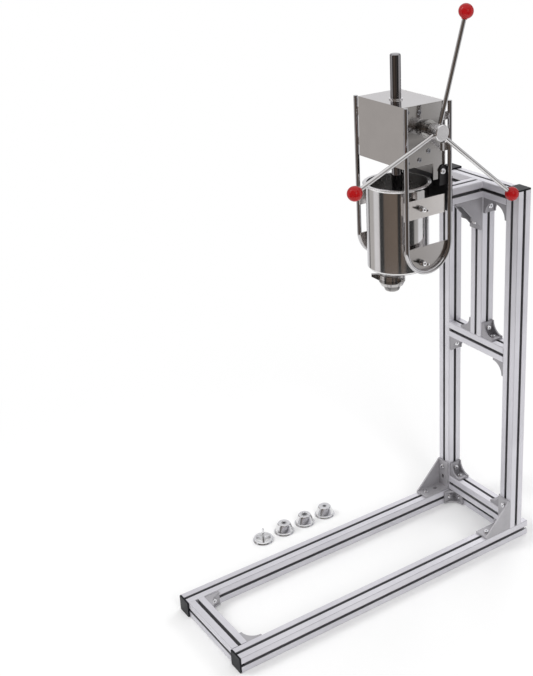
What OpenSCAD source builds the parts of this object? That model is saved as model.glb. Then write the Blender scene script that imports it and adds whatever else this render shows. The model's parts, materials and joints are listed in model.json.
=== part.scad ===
// Hand-cranked churro maker on a free-standing stand of slotted aluminium profile.
// The origin is the centre of the stand's footprint on the floor, in the stand's plane of symmetry.
// X runs across the stand with the crank on the +X side, Y runs from the open end of the base to the posts.

/* [Stand] */
// Overall width of the base, over its two side rails
base_w = 280; // [270:2:400]
// Length of the side rails
base_len = 850; // [800:10:1000]
// Length of side rail left behind each post
post_setback = 20; // [4:2:60]
// Height of the stand, to the top face of the top rail
stand_h = 932; // [880:4:1000]
// Height of the middle rail's top face
mid_rail_top = 532; // [440:4:620]

/* [Aluminium profile] */
// Width of the square profile
profile_w = 40; // [38:0.5:44]
// Radius of the profile's outer corners
profile_r = 2.4; // [1:0.2:3]
// Width of a slot's mouth
slot_w = 8.2; // [8.2:0.1:9]
// Thickness of the lips beside a slot's mouth
slot_lip = 4.5; // [3.5:0.1:5]
// Depth of a slot's floor below the face
slot_depth = 12.3; // [11.5:0.1:13]
// Inner width of a slot
slot_inner_w = 20; // [18:0.5:21]
// Width of a slot's floor
slot_floor_w = 10; // [9:0.5:11]
// Bore along the core
core_d = 6.8; // [6.8:0.1:8]
// Thickness of the plastic end caps
cap_t = 4; // [3:0.5:6]

/* [Brackets and screws] */
// Leg length of the small corner brackets
bracket_leg = 38; // [34:1:39]
// Width of the small corner brackets
bracket_w = 35; // [30:1:37]
// Wall thickness of the small corner brackets
bracket_t = 4.5; // [3.5:0.5:6]
// Leg length of the large gussets
gusset_leg = 80; // [70:2:90]
// Width of the large gussets
gusset_w = 38; // [32:1:38]
// Wall thickness of the large gussets
gusset_t = 5; // [4:0.5:7]
// Shank diameter of the profile screws
screw_d = 8; // [6:0.5:8]
// Head diameter of the profile screws
screw_head_d = 13.6; // [12:0.2:15]
// Head height of the profile screws
screw_head_h = 4.4; // [3:0.2:5]

/* [Machine position] */
// Distance from the posts' front faces forward to the barrel's axis
machine_reach = 237; // [230:1:260]
// Height of the barrel's mouth above the stand's top face
mouth_lift = 42; // [38:1:60]

/* [Gearbox] */
// Gap between the barrel's rim and the planes of the gearbox sides
box_side_gap = 2.5; // [2:0.5:6]
// Depth of the gearbox from front to rear face
box_d = 112; // [106:1:114]
// Height of the gearbox
box_h = 134; // [126:1:160]
// Distance from the rack rod's axis forward to the front face
box_front = 43; // [38:1:46]
// Height of the gearbox floor above the barrel's mouth
box_lift = 51; // [50:1:70]
// Thickness of the side plates
side_t = 3; // [2:0.5:4]
// Thickness of the folded cover
cover_t = 1.5; // [1:0.5:2.5]
// Thickness of the rear panel and of the gearbox floor
panel_t = 3; // [2:0.5:4]

/* [Side frames] */
// Diameter of the bent rods
frame_rod_d = 10; // [8:0.5:11]
// Distance between the two legs of one bent rod, centre to centre
frame_leg_gap = 120; // [118:1:130]
// Gap between the gearbox side and the bent rod, which the spacers fill
frame_spacer_t = 4; // [3.8:0.1:6]
// Height of the bend's lowest point above the barrel's bottom
bend_rise = 2.5; // [0:0.5:6]
// Height of the upper side plates
upper_plate_h = 43; // [38:1:48]
// Thickness of the side plates on the bent rods
plate_t = 3; // [2:0.5:3]

/* [Barrel] */
// Outer diameter of the barrel
barrel_d = 141; // [134:1:144]
// Height of the barrel
barrel_h = 200; // [196:1:206]
// Wall thickness of the barrel
barrel_wall = 2; // [1.5:0.5:3]
// Width of the barrel's rim beyond its wall
rim_w = 7; // [6:0.5:9]
// Radius of the barrel's rounded bottom corner
barrel_corner_r = 6; // [5:0.5:12]
// Distance of the outlet forward of the barrel's axis
outlet_offset = 19; // [0:1:22]

/* [Rack and pinion] */
// Diameter of the rack rod
rod_d = 24; // [23:0.5:26]
// Height of the rack rod's top above the gearbox, at rest
rod_show = 98; // [94:1:120]
// Gear module
gear_module = 2; // [1.9:0.05:2.2]
// Teeth of the pinion
pinion_teeth = 14; // [13:1:15]
// Pressure angle of the teeth
pressure_angle = 25; // [22:1:26]
// Face width of the pinion
pinion_w = 22; // [16:1:30]
// Distance of the rack's pitch line from the rod's axis
rack_offset = 9.2; // [9:0.1:10]
// Diameter of the crank shaft
shaft_d = 16; // [14:0.5:17]
// Height of the crank shaft above the gearbox floor
shaft_lift = 78.4; // [72:0.2:84]

/* [Crank] */
// Diameter of the crank hub
hub_d = 36; // [32:1:42]
// Length of the crank hub
hub_len = 30; // [24:1:32]
// Gap between the bearing boss and the hub
hub_gap = 2; // [1:0.5:6]
// Distance of the balls' centres outwards of the hub's middle
ball_out = 28; // [24:0.5:36]
// Radius of the circle that the balls run on
ball_circle_r = 254; // [220:1:254]
// Diameter of the ball knobs
ball_d = 32; // [28:1:33]
// Diameter of the three spokes
spoke_d = 9.5; // [8:0.5:11]
// Angle of the first spoke above the horizontal, at rest
crank_phase = 78.5; // [70:0.5:85]

/* [Plunger] */
// Depth of the plunger's top face below the barrel's mouth, at rest
plunger_depth = 82; // [76:1:88]
// Thickness of the plunger disc
plunger_t = 12; // [10:1:14]
// Travel of the rack rod upwards from rest
travel_up = 104; // [90:1:104]
// Travel of the rack rod downwards from rest
travel_down = 89.5; // [60:0.5:89.5]

/* [Nozzles] */
// Diameter of a nozzle's flange
nozzle_flange_d = 54; // [50:0.5:54]
// Diameter of a nozzle's raised ring
nozzle_ring_d = 48; // [46:0.5:48]
// Diameter of a nozzle's tip
nozzle_tip_d = 34; // [28:1:38]
// Height of a nozzle
nozzle_h = 26; // [24:1:32]
// Wall thickness of a nozzle
nozzle_wall = 2; // [1.5:0.5:3]
// Distance from the base to the middle of the row of loose nozzles
loose_gap = 118; // [90:2:260]
// Distance between neighbours in the row of loose nozzles
loose_pitch = 64; // [58:1:90]

/* [Hidden] */
$fn = 64;
// Clearance of a turning or sliding shaft in its hole, on the radius
run_gap = 0.05;
// Clearance of a pressed or screwed pin in its hole, on the radius
press_gap = 0.02;
// Gap between pieces that are seated beside each other
seat_gap = 0.2;
// Overrun of a cut past the face that it opens
over = 1;
// Steps of a rounded corner in a turned outline
arc_steps = 6;

// Stand places
pw = profile_w;
half_w = base_w / 2;
inner_x = half_w - pw;
front_y = -base_len / 2;
rear_y = base_len / 2;
post_y = rear_y - post_setback - pw;
mid_y = post_y + pw / 2;
arm_z = stand_h - pw;
slot_shoulder = 2;

// End cap sizes
cap_leg_len = 10;
cap_leg_gap = 0.3;

// Bracket and screw sizes
bracket_hole_share = 0.58;
gusset_hole_share = 0.78;
gusset_slot_share = 0.4;
gusset_slot_len = 12;
gusset_lip = 12;
rib_t = 4;
hole_gap = 0.3;
slot_floor_gap = 1.5;
screw_reach = slot_depth - slot_floor_gap;
nut_af_share = 1.625;
nut_h_share = 0.8;
socket_share = 0.36;
socket_depth_share = 0.6;
nut_gap = 0.3;
nut_t = 4;
nut_w = 14;
nut_len = 16;

// Machine places
axis_y = post_y - machine_reach;
mouth_z = stand_h + mouth_lift;
floor_z = mouth_z + box_lift;
roof_z = floor_z + box_h;
rim_d = barrel_d + 2 * rim_w;
box_w = rim_d + 2 * box_side_gap;
box_x = box_w / 2;
box_y0 = axis_y - box_front;
box_y1 = box_y0 + box_d;

// Side frame places
frame_r = frame_rod_d / 2;
frame_x = box_x + frame_spacer_t + frame_r;
leg_y0 = box_y0 - seat_gap;
leg_y1 = leg_y0 + frame_leg_gap;
bend_r = frame_leg_gap / 2;
bend_y = leg_y0 + bend_r;
bend_z = mouth_z - barrel_h + bend_rise + frame_r + bend_r;
frame_top_z = roof_z + seat_gap;
plate_x1 = frame_x - frame_r - seat_gap;
plate_x0 = plate_x1 - plate_t;
upper_plate_drop = 22;
upper_plate_top = mouth_z - upper_plate_drop;
upper_plate_mid = upper_plate_top - upper_plate_h / 2;
upper_plate_rear = 9;
lower_bolt_drop = 36;
spacer_h = 18;
spacer_w = 8;
spacer_inset = 24;

// Mount plate sizes
mount_t = 6;
mount_y0 = leg_y1 + frame_r + seat_gap;
mount_y1 = mount_y0 + mount_t;
mount_inset = 3;
mount_half_w = frame_x - mount_inset;
mount_rise = 14;
mount_z0 = arm_z + mount_rise;
mount_above_mouth = 14;
mount_z1 = mouth_z + mount_above_mouth;
mount_tab_r = 5;
ear_t = 3.4;
ear_front = 15;
ear_gap = 7;
ear_top = floor_z - ear_gap;
ear_r = 11;
ear_screw_inset = 8;
ear_screw_y = box_y1 - ear_screw_inset;
ear_screw_drop = 21;
ear_screw_z = floor_z - ear_screw_drop;
tongue_w = 31;
tongue_drop = 38;

// Gearbox sizes
flange_w = 20;
flange_x1 = box_x - side_t - seat_gap;
small_screw_d = 5;
small_head_d = 8.4;
small_head_h = 2.2;
large_head_share = 0.8;
small_inset_y = 12;
small_inset_z = 12;
guide_w = 30;
guide_h = 16;
guide_top_gap = 8;
guide_top_z = roof_z - guide_top_gap - guide_h;
guide_low_gap = 6;
guide_low_z = floor_z + guide_low_gap;
rod_hole_gap = 2;
bush_flange_d = 31;
bush_flange_h = 2.5;
tie_d = 12;
tie_back = 25;
tie_y = axis_y + tie_back;
tie_rise = 30;
tie_z = floor_z + tie_rise;

// Shaft places
pitch_r = gear_module * pinion_teeth / 2;
shaft_y = axis_y + rack_offset + pitch_r;
shaft_z = floor_z + shaft_lift;
bearing_d = 22;
housing_d = 42;
housing_t = 4;
boss_d = 31;
boss_len = 14;
short_boss_len = 3;
sleeve_d = 21;
collar_d = 28;
collar_len = 10;

// Gear sizes
gear_pitch = PI * gear_module;
addendum = gear_module;
dedendum_share = 1.25;
dedendum = dedendum_share * gear_module;
backlash_share = 0.02;
flank_steps = 6;
rack_spare_share = 1.5;
rack_spare = rack_spare_share * gear_pitch;
rod_chamfer = 2;

// Crank sizes; the spokes lean outwards from the hub to the balls
hub_x = box_x + housing_t + boss_len + hub_gap + hub_len / 2;
ball_x = hub_x + ball_out;
spoke_tilt = atan((ball_x - hub_x) / ball_circle_r);
ball_dist = sqrt(pow(ball_x - hub_x, 2) + pow(ball_circle_r, 2));
spoke_socket = 8;
pin_d = 5;
pin_recess = 0.5;
hub_bevel = 1.5;
hub_cap_t = 3;

// Barrel sizes
barrel_r = barrel_d / 2;
bore_r = barrel_r - barrel_wall;
barrel_z0 = mouth_z - barrel_h;
bottom_t = 3;
rim_t = 3;
rim_fillet = 5;
boss_out_d = 18;
barrel_lug_w = 20;
barrel_lug_h = 18;
wing_bolt_d = 8;
wing_bolt_bite = 9;
wing_hub_d = 14;
wing_hub_len = 11;
wing_d = 11;
wing_t = 4;
wing_reach = 8;
wing_turn = 75;

// Outlet sizes
outlet_y = axis_y - outlet_offset;
flange_gap = 0.45;
spigot_d = nozzle_flange_d + 2 * flange_gap;
spigot_bore_d = 44;
spigot_len = 26;
gasket_t = 2;
spigot_z = barrel_z0 - spigot_len;
flange_t = 2;
nozzle_top_z = spigot_z - gasket_t;
nut_ring_d = 61;
nut_ring_h = 26;
nut_lip_t = 10;
nut_top_z = nozzle_top_z - flange_t - seat_gap - nut_lip_t + nut_ring_h;
nut_chamfer = 9;
nut_chamfer_w = 4.5;
lug_reach = 47;
lug_w = 9;
lug_h = 15;
lug_end_h = 5;
lug_drop = 1;
lug_angle = 54.8;

// Nozzle sizes
loose_x = half_w + loose_gap;
ring_h = 5;
ring_step = 0.8;
tip_wall = 3;
tip_round = 1.5;
fine_rays = 10;
large_rays = 8;
small_rays = 7;
fine_star_r = 10;
large_star_r = 11.5;
small_star_r = 7.5;
star_inner_share = 0.42;
fine_inner_share = 0.34;
core_hub_d = 12;
core_pin_d = 5.5;
core_pin_h = 34;
core_arm_w = 5;
core_ring_d = 38;
core_h = 8;
core_arm_h = 7;

// Plunger sizes
plunger_z1 = mouth_z - plunger_depth;
plunger_z0 = plunger_z1 - plunger_t;
plunger_gap = 1.5;
disc_chamfer = 1;
seal_gap = 0.3;
seal_h = 5;
seal_depth = 6;
neck_d = 16;
rod_nut_af = 24;
rod_nut_h = 10;

// Points on an arc about c, from angle a0 to a1
function arc(c, r, a0, a1) =
    [for (i = [0:arc_steps]) c + r * [cos(a0 + (a1 - a0) * i / arc_steps), sin(a0 + (a1 - a0) * i / arc_steps)]];

// Turns a child so that its x, y and z lie along Y, Z and X
module cyclic() {
    rotate(a = 120, v = [1, 1, 1])
        children();
}

module both_sides() {
    children();
    mirror([1, 0, 0])
        children();
}

// Aluminium profile

module rounded_square(w, r) {
    square([w, w - 2 * r], center = true);
    square([w - 2 * r, w], center = true);
    for (x = [-1, 1], y = [-1, 1])
        translate([x * (w / 2 - r), y * (w / 2 - r)])
            circle(r);
}

module slot_cut() {
    h = pw / 2;
    shoulder = h - slot_lip - slot_shoulder;
    polygon([
        [h + over, -slot_w / 2],
        [h - slot_lip, -slot_w / 2],
        [h - slot_lip, -slot_inner_w / 2],
        [shoulder, -slot_inner_w / 2],
        [h - slot_depth, -slot_floor_w / 2],
        [h - slot_depth, slot_floor_w / 2],
        [shoulder, slot_inner_w / 2],
        [h - slot_lip, slot_inner_w / 2],
        [h - slot_lip, slot_w / 2],
        [h + over, slot_w / 2],
    ]);
}

module profile(length) {
    color("silver")
        linear_extrude(length)
            difference() {
                rounded_square(pw, profile_r);
                for (a = [0:90:270])
                    rotate(a)
                        slot_cut();
                circle(d = core_d);
            }
}

// A profile along X, Y or Z whose low corner is at p
module profile_x(p, length) {
    translate(p + [0, pw / 2, pw / 2])
        rotate([0, 90, 0])
            profile(length);
}

module profile_y(p, length) {
    translate(p + [pw / 2, 0, pw / 2])
        rotate([-90, 0, 0])
            profile(length);
}

module profile_z(p, length) {
    translate(p + [pw / 2, pw / 2, 0])
        profile(length);
}

module base_rail_left() {
    profile_y([-half_w, front_y, 0], base_len);
}

module base_rail_right() {
    profile_y([inner_x, front_y, 0], base_len);
}

module base_cross_front() {
    profile_x([-inner_x, front_y, 0], 2 * inner_x);
}

module base_cross_rear() {
    profile_x([-inner_x, rear_y - pw, 0], 2 * inner_x);
}

module post_left() {
    profile_z([-half_w, post_y, pw], stand_h - pw);
}

module post_right() {
    profile_z([inner_x, post_y, pw], stand_h - pw);
}

module post_cross_lower() {
    profile_x([-inner_x, post_y, pw], 2 * inner_x);
}

module post_cross_middle() {
    profile_x([-inner_x, post_y, mid_rail_top - pw], 2 * inner_x);
}

module post_cross_top() {
    profile_x([-inner_x, post_y, arm_z], 2 * inner_x);
}

module centre_upright() {
    profile_z([-pw / 2, post_y, mid_rail_top], arm_z - mid_rail_top);
}

module support_arm() {
    profile_y([-pw / 2, mount_y1, arm_z], post_y - mount_y1);
}

// A plastic cap with four short legs that push into the slots; it covers z from 0 to cap_t
module end_cap() {
    h = pw / 2;
    leg_t = slot_depth - slot_lip - 2 * cap_leg_gap;
    leg_w = slot_floor_w - 2 * cap_leg_gap;
    linear_extrude(cap_t)
        rounded_square(pw, profile_r);
    for (a = [0:90:270])
        rotate(a)
            translate([h - slot_depth + cap_leg_gap, -leg_w / 2, -cap_leg_len])
                cube([leg_t, leg_w, cap_leg_len]);
}

module end_caps() {
    color("#1d1d1f")
        both_sides() {
            translate([half_w - pw / 2, front_y, pw / 2])
                rotate([90, 0, 0])
                    end_cap();
            translate([half_w - pw / 2, mid_y, stand_h])
                end_cap();
        }
}

// Brackets: the two legs lie on the faces z = 0 and x = 0, from the corner along x and z

module leg_holes(leg, t, share) {
    translate([leg * share, 0, -over])
        cylinder(d = screw_d + 2 * hole_gap, h = t + 2 * over);
    translate([-over, 0, leg * share])
        rotate([0, 90, 0])
            cylinder(d = screw_d + 2 * hole_gap, h = t + 2 * over);
}

module leg_slots(leg, t, share) {
    r = screw_d / 2 + hole_gap;
    for (turn = [false, true])
        rotate(a = turn ? 90 : 0, v = [0, 1, 0])
            mirror([turn ? 1 : 0, 0, 0])
                translate([leg * share, 0, -over])
                    linear_extrude(t + 2 * over) {
                        square([gusset_slot_len - 2 * r, 2 * r], center = true);
                        for (s = [-1, 1])
                            translate([s * (gusset_slot_len / 2 - r), 0])
                                circle(r);
                    }
}

module web(leg, t, lip, y) {
    translate([0, y + rib_t, 0])
        rotate([90, 0, 0])
            linear_extrude(rib_t)
                polygon([[0, 0], [leg, 0], [leg, t], [leg - lip + t, t + lip / 2], [t + lip / 2, leg - lip + t], [t, leg], [0, leg]]);
}

module corner_bracket() {
    difference() {
        union() {
            translate([0, -bracket_w / 2, 0])
                cube([bracket_leg, bracket_w, bracket_t]);
            translate([0, -bracket_w / 2, 0])
                cube([bracket_t, bracket_w, bracket_leg]);
            for (y = [-bracket_w / 2, bracket_w / 2 - rib_t])
                web(bracket_leg, bracket_t, bracket_t, y);
        }
        leg_holes(bracket_leg, bracket_t, bracket_hole_share);
    }
}

// Outline of the arm gusset's webs, as shares of its leg
stepped_web_shares = [[0, 0], [1, 0], [1, 0.062], [0.775, 0.125], [0.41, 0.525], [0.41, 0.64], [0.22, 0.73], [0.062, 0.9], [0, 1]];

module gusset(stepped) {
    difference() {
        union() {
            translate([0, -gusset_w / 2, 0])
                cube([gusset_leg, gusset_w, gusset_t]);
            translate([0, -gusset_w / 2, 0])
                cube([gusset_t, gusset_w, gusset_leg]);
            if (stepped)
                for (y = [rib_t - gusset_w / 2, gusset_w / 2])
                    translate([0, y, 0])
                        rotate([90, 0, 0])
                            linear_extrude(rib_t)
                                polygon(gusset_leg * stepped_web_shares);
            else
                web(gusset_leg, gusset_t, gusset_lip, -gusset_w / 2);
        }
        leg_holes(gusset_leg, gusset_t, gusset_hole_share);
        leg_slots(gusset_leg, gusset_t, gusset_slot_share);
    }
}

module base_bracket_places() {
    for (sx = [0, 1], sy = [0, 1])
        mirror([sx, 0, 0])
            mirror([0, sy, 0])
                translate([-inner_x, front_y + pw, pw / 2])
                    cyclic()
                        children();
}

module post_bracket_places() {
    both_sides() {
        translate([-inner_x, mid_y, 2 * pw])
            children();
        for (p = [[-inner_x, mid_rail_top - pw], [-inner_x, arm_z], [pw / 2, arm_z]])
            translate([p[0], mid_y, p[1]])
                mirror([0, 0, 1])
                    children();
        translate([pw / 2, mid_y, mid_rail_top])
            children();
    }
}

module foot_gusset_places() {
    both_sides()
        translate([-half_w + pw / 2, post_y, pw])
            rotate([0, 0, -90])
                children();
}

module arm_gusset_place() {
    translate([0, post_y, arm_z])
        mirror([0, 0, 1])
            rotate([0, 0, -90])
                children();
}

module arm_bracket_place() {
    translate([0, mount_y1, stand_h])
        rotate([0, 0, 90])
            children();
}

module base_corner_brackets() {
    color("silver")
        base_bracket_places()
            corner_bracket();
}

module post_corner_brackets() {
    color("silver")
        post_bracket_places()
            corner_bracket();
}

module foot_gussets() {
    color("silver")
        foot_gusset_places()
            gusset(false);
}

module arm_gusset() {
    color("silver")
        arm_gusset_place()
            gusset(true);
}

module arm_front_bracket() {
    color("silver")
        arm_bracket_place()
            corner_bracket();
}

// Places a child on both legs of a bracket, its z out of the leg and its y along the slot
module on_both_legs(leg, share) {
    translate([leg * share, 0, 0])
        rotate([0, 0, 90])
            children();
    translate([0, 0, leg * share])
        cyclic()
            children();
}

module all_slot_places(t_small, t_large) {
    base_bracket_places()
        on_both_legs(bracket_leg, bracket_hole_share)
            translate([0, 0, t_small])
                children();
    post_bracket_places()
        on_both_legs(bracket_leg, bracket_hole_share)
            translate([0, 0, t_small])
                children();
    foot_gusset_places()
        on_both_legs(gusset_leg, gusset_hole_share)
            translate([0, 0, t_large])
                children();
    arm_gusset_place()
        on_both_legs(gusset_leg, gusset_hole_share)
            translate([0, 0, t_large])
                children();
    arm_bracket_place()
        translate([bracket_leg * bracket_hole_share, 0, t_small])
            rotate([0, 0, 90])
                children();
}

// A button-head screw whose head sits on z = 0
module screw(d, head_d, head_h, length) {
    difference() {
        union() {
            cylinder(d = head_d, h = head_h * socket_depth_share);
            translate([0, 0, head_h * socket_depth_share])
                cylinder(d1 = head_d, d2 = head_d * (1 - socket_share / 2), h = head_h * (1 - socket_depth_share));
            translate([0, 0, -length])
                cylinder(d = d, h = length);
        }
        translate([0, 0, head_h * (1 - socket_depth_share)])
            cylinder(d = head_d * socket_share, h = head_h, $fn = 6);
    }
}

module bracket_screws() {
    color("#8a8c90") {
        base_bracket_places()
            on_both_legs(bracket_leg, bracket_hole_share)
                translate([0, 0, bracket_t])
                    screw(screw_d, screw_head_d, screw_head_h, bracket_t + screw_reach);
        post_bracket_places()
            on_both_legs(bracket_leg, bracket_hole_share)
                translate([0, 0, bracket_t])
                    screw(screw_d, screw_head_d, screw_head_h, bracket_t + screw_reach);
        foot_gusset_places()
            on_both_legs(gusset_leg, gusset_hole_share)
                translate([0, 0, gusset_t])
                    screw(screw_d, screw_head_d, screw_head_h, gusset_t + screw_reach);
        arm_gusset_place()
            on_both_legs(gusset_leg, gusset_hole_share)
                translate([0, 0, gusset_t])
                    screw(screw_d, screw_head_d, screw_head_h, gusset_t + screw_reach);
        arm_bracket_place()
            translate([bracket_leg * bracket_hole_share, 0, bracket_t])
                screw(screw_d, screw_head_d, screw_head_h, bracket_t + screw_reach);
    }
}

module slot_nuts() {
    color("#77797d")
        all_slot_places(0, 0)
            translate([0, 0, -slot_lip - nut_gap - nut_t])
                difference() {
                    translate([-nut_w / 2, -nut_len / 2, 0])
                        cube([nut_w, nut_len, nut_t]);
                    translate([0, 0, -over])
                        cylinder(d = screw_d + 2 * press_gap, h = nut_t + 2 * over);
                }
}

// Black plate that carries the machine on the arm's end, with an ear along each side of the gearbox
module mount_plate() {
    web_z = arm_z + pw / 2;
    color("#141414")
        difference() {
            union() {
                translate([-mount_half_w, mount_y0, mount_z0])
                    cube([2 * mount_half_w, mount_t, mount_z1 - mount_z0]);
                translate([-pw / 2, mount_y0, arm_z])
                    cube([pw, mount_t, mount_z0 - arm_z + mount_tab_r]);
                both_sides()
                    translate([box_x + seat_gap, 0, 0])
                        cyclic()
                            linear_extrude(ear_t)
                                ear_outline();
            }
            translate([0, mount_y0 - over, web_z])
                rotate([-90, 0, 0])
                    cylinder(d = screw_d + 2 * hole_gap, h = mount_t + 2 * over);
            translate([0, mount_y0 - over, stand_h + bracket_leg * bracket_hole_share])
                rotate([-90, 0, 0])
                    cylinder(d = screw_d + 2 * hole_gap, h = mount_t + 2 * over);
            translate([-box_x - 2 * ear_t, ear_screw_y, ear_screw_z])
                rotate([0, 90, 0])
                    cylinder(d = screw_d + 2 * hole_gap, h = 2 * (box_x + 2 * ear_t));
        }
}

module ear_outline() {
    y0 = box_y1 - ear_front;
    y1 = mount_y0 + mount_t / 2;
    z0 = mount_z1 - mount_tab_r - ear_r;
    polygon(concat(
        [[y1, z0], [y1, mount_z1 - mount_tab_r]],
        arc([y0 + ear_r, ear_top - ear_r], ear_r, 0, 180),
        [[y0, z0]]
    ));
}

module mount_screws() {
    color("#8a8c90") {
        translate([0, mount_y0, arm_z + pw / 2])
            rotate([90, 0, 0])
                screw(core_d - 2 * run_gap, screw_head_d, screw_head_h, mount_t + 3 * screw_d);
        translate([0, mount_y1 + bracket_t, stand_h + bracket_leg * bracket_hole_share])
            rotate([-90, 0, 0])
                screw(screw_d, screw_head_d, screw_head_h, bracket_t + mount_t + screw_d);
        translate([0, mount_y0, stand_h + bracket_leg * bracket_hole_share])
            rotate([90, 0, 0])
                hex_nut(screw_d);
        both_sides()
            translate([box_x + seat_gap + ear_t, ear_screw_y, ear_screw_z])
                rotate([0, 90, 0]) {
                    screw(screw_d, screw_head_d, screw_head_h, ear_t + side_t + seat_gap + screw_d);
                    translate([0, 0, -ear_t - side_t - seat_gap])
                        mirror([0, 0, 1])
                            hex_nut(screw_d);
                }
    }
}

// A hexagon nut that stands on z = 0
module hex_nut(d) {
    af = nut_af_share * d;
    difference() {
        cylinder(d = af / cos(30), h = nut_h_share * d, $fn = 6);
        translate([0, 0, -over])
            cylinder(d = d + 2 * press_gap, h = d + 2 * over);
    }
}

// Side frames

module side_rod() {
    color("#c9cbd0") {
        for (y = [leg_y0, leg_y1])
            translate([frame_x, y, bend_z])
                cylinder(d = frame_rod_d, h = frame_top_z - bend_z);
        translate([frame_x, bend_y, bend_z])
            cyclic()
                rotate([0, 0, 180])
                    rotate_extrude(angle = 180)
                        translate([bend_r, 0])
                            circle(d = frame_rod_d);
    }
}

module side_frame_right() {
    side_rod();
}

module side_frame_left() {
    mirror([1, 0, 0])
        side_rod();
}

module frame_spacers() {
    color("#b4b6ba")
        both_sides()
            for (z = [floor_z + spacer_inset, roof_z - spacer_inset - spacer_h]) {
                translate([box_x, leg_y0 + seat_gap, z])
                    cube([frame_spacer_t - seat_gap / 2, spacer_w, spacer_h]);
                translate([box_x, box_y1 - spacer_w, z])
                    cube([frame_spacer_t - seat_gap / 2, leg_y1 - box_y1 + spacer_w, spacer_h]);
            }
}

module side_plates() {
    color("#d0d2d6")
        both_sides()
            translate([plate_x0, 0, 0])
                cyclic()
                    linear_extrude(plate_t)
                        difference() {
                            union() {
                                translate([leg_y0 - frame_r / 2, upper_plate_top - upper_plate_h])
                                    square([leg_y1 - leg_y0 - upper_plate_rear + frame_r / 2, upper_plate_h]);
                                lower_plate_outline();
                            }
                            for (z = [upper_plate_mid, bend_z - lower_bolt_drop])
                                translate([axis_y, z])
                                    circle(d = wing_bolt_d + 4 * hole_gap);
                        }
}

module lower_plate_outline() {
    intersection() {
        translate([bend_y, bend_z])
            circle(bend_r + frame_r / 2);
        translate([bend_y - frame_leg_gap, bend_z - frame_leg_gap])
            square([2 * frame_leg_gap, frame_leg_gap]);
    }
}

// Gearbox

module gearbox_cover() {
    color("#a9a7a4")
        difference() {
            union() {
                translate([-box_x, box_y0, floor_z])
                    cube([box_w, cover_t, box_h]);
                translate([-box_x, box_y0, roof_z - cover_t])
                    cube([box_w, box_d, cover_t]);
                both_sides()
                    translate([flange_x1 - cover_t, box_y0, floor_z + panel_t + seat_gap])
                        cube([cover_t, flange_w, box_h - panel_t - seat_gap]);
            }
            translate([0, axis_y, roof_z - cover_t - over])
                cylinder(d = bush_flange_d - 2 * rod_hole_gap + 2 * seat_gap, h = cover_t + 2 * over);
            small_screw_places()
                translate([0, 0, -flange_w])
                    cylinder(d = small_screw_d + 2 * press_gap, h = 2 * flange_w);
        }
}

module side_outline() {
    y0 = box_y0 + cover_t + seat_gap;
    z1 = roof_z - cover_t - seat_gap;
    polygon([
        [y0, floor_z], [box_y1 - tongue_w, floor_z], [box_y1 - tongue_w, floor_z - tongue_drop],
        [box_y1, floor_z - tongue_drop], [box_y1, z1], [y0, z1],
    ]);
}

// Places on the outer face of the right side plate: z points outwards
module side_screw_place(y, z) {
    translate([box_x, y, z])
        rotate([0, 90, 0])
            children();
}

module small_screw_places() {
    both_sides() {
        for (z = [floor_z + small_inset_z, roof_z - small_inset_z, roof_z - 4 * small_inset_z])
            side_screw_place(box_y0 + small_inset_y, z)
                children();
        for (z = [floor_z + 4 * small_inset_z, roof_z - 4 * small_inset_z])
            side_screw_place(box_y1 - small_inset_y / 2, z)
                children();
    }
}

module large_screw_places() {
    both_sides() {
        for (z = [guide_low_z + guide_h / 2, guide_top_z + guide_h / 2])
            side_screw_place(axis_y, z)
                children();
        side_screw_place(tie_y, tie_z)
            children();
    }
}

module side_plate_right() {
    difference() {
        translate([box_x - side_t, 0, 0])
            cyclic()
                linear_extrude(side_t)
                    side_outline();
        side_screw_place(shaft_y, shaft_z)
            translate([0, 0, -side_t - over])
                cylinder(d = bearing_d + 2 * press_gap, h = side_t + 2 * over);
        side_screw_place(ear_screw_y, ear_screw_z)
            translate([0, 0, -side_t - over])
                cylinder(d = screw_d + 2 * hole_gap, h = side_t + 2 * over);
        small_screw_places()
            translate([0, 0, -side_t - over])
                cylinder(d = small_screw_d + 2 * press_gap, h = side_t + 2 * over);
        large_screw_places()
            translate([0, 0, -side_t - over])
                cylinder(d = small_screw_d + 2 * press_gap, h = side_t + 2 * over);
    }
}

module gearbox_side_right() {
    color("#9c9a98")
        side_plate_right();
}

module gearbox_side_left() {
    color("#9c9a98")
        mirror([1, 0, 0])
            side_plate_right();
}

module gearbox_rear_panel() {
    color("#a3a19f")
        difference() {
            union() {
                translate([-box_x, box_y1 + seat_gap, floor_z - tongue_drop])
                    cube([box_w, panel_t, roof_z - floor_z + tongue_drop]);
                both_sides()
                    translate([flange_x1 - cover_t, box_y1 - small_inset_y, floor_z + panel_t + seat_gap])
                        cube([cover_t, small_inset_y + seat_gap + panel_t / 2, box_h - panel_t - cover_t - 2 * seat_gap]);
            }
            small_screw_places()
                translate([0, 0, -flange_w])
                    cylinder(d = small_screw_d + 2 * press_gap, h = 2 * flange_w);
        }
}

module gearbox_floor() {
    color("#a3a19f")
        difference() {
            translate([-flange_x1, box_y0 + cover_t + seat_gap, floor_z])
                cube([2 * flange_x1, box_d - cover_t - 2 * seat_gap, panel_t]);
            translate([0, axis_y, floor_z - over])
                cylinder(d = rod_d + 2 * rod_hole_gap, h = panel_t + 2 * over);
        }
}

// Two bars that guide the rack rod and one round tie bar, between the side plates
module guide_bars() {
    color("#8f9195") {
        for (z = [guide_low_z, guide_top_z])
            difference() {
                translate([-flange_x1, axis_y - guide_w / 2, z])
                    cube([2 * flange_x1, guide_w, guide_h]);
                translate([0, axis_y, z - over])
                    cylinder(d = rod_d + 2 * run_gap, h = guide_h + 2 * over);
                bar_screw_holes();
            }
        difference() {
            translate([-flange_x1, tie_y, tie_z])
                rotate([0, 90, 0])
                    cylinder(d = tie_d, h = 2 * flange_x1);
            bar_screw_holes();
        }
    }
}

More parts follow.
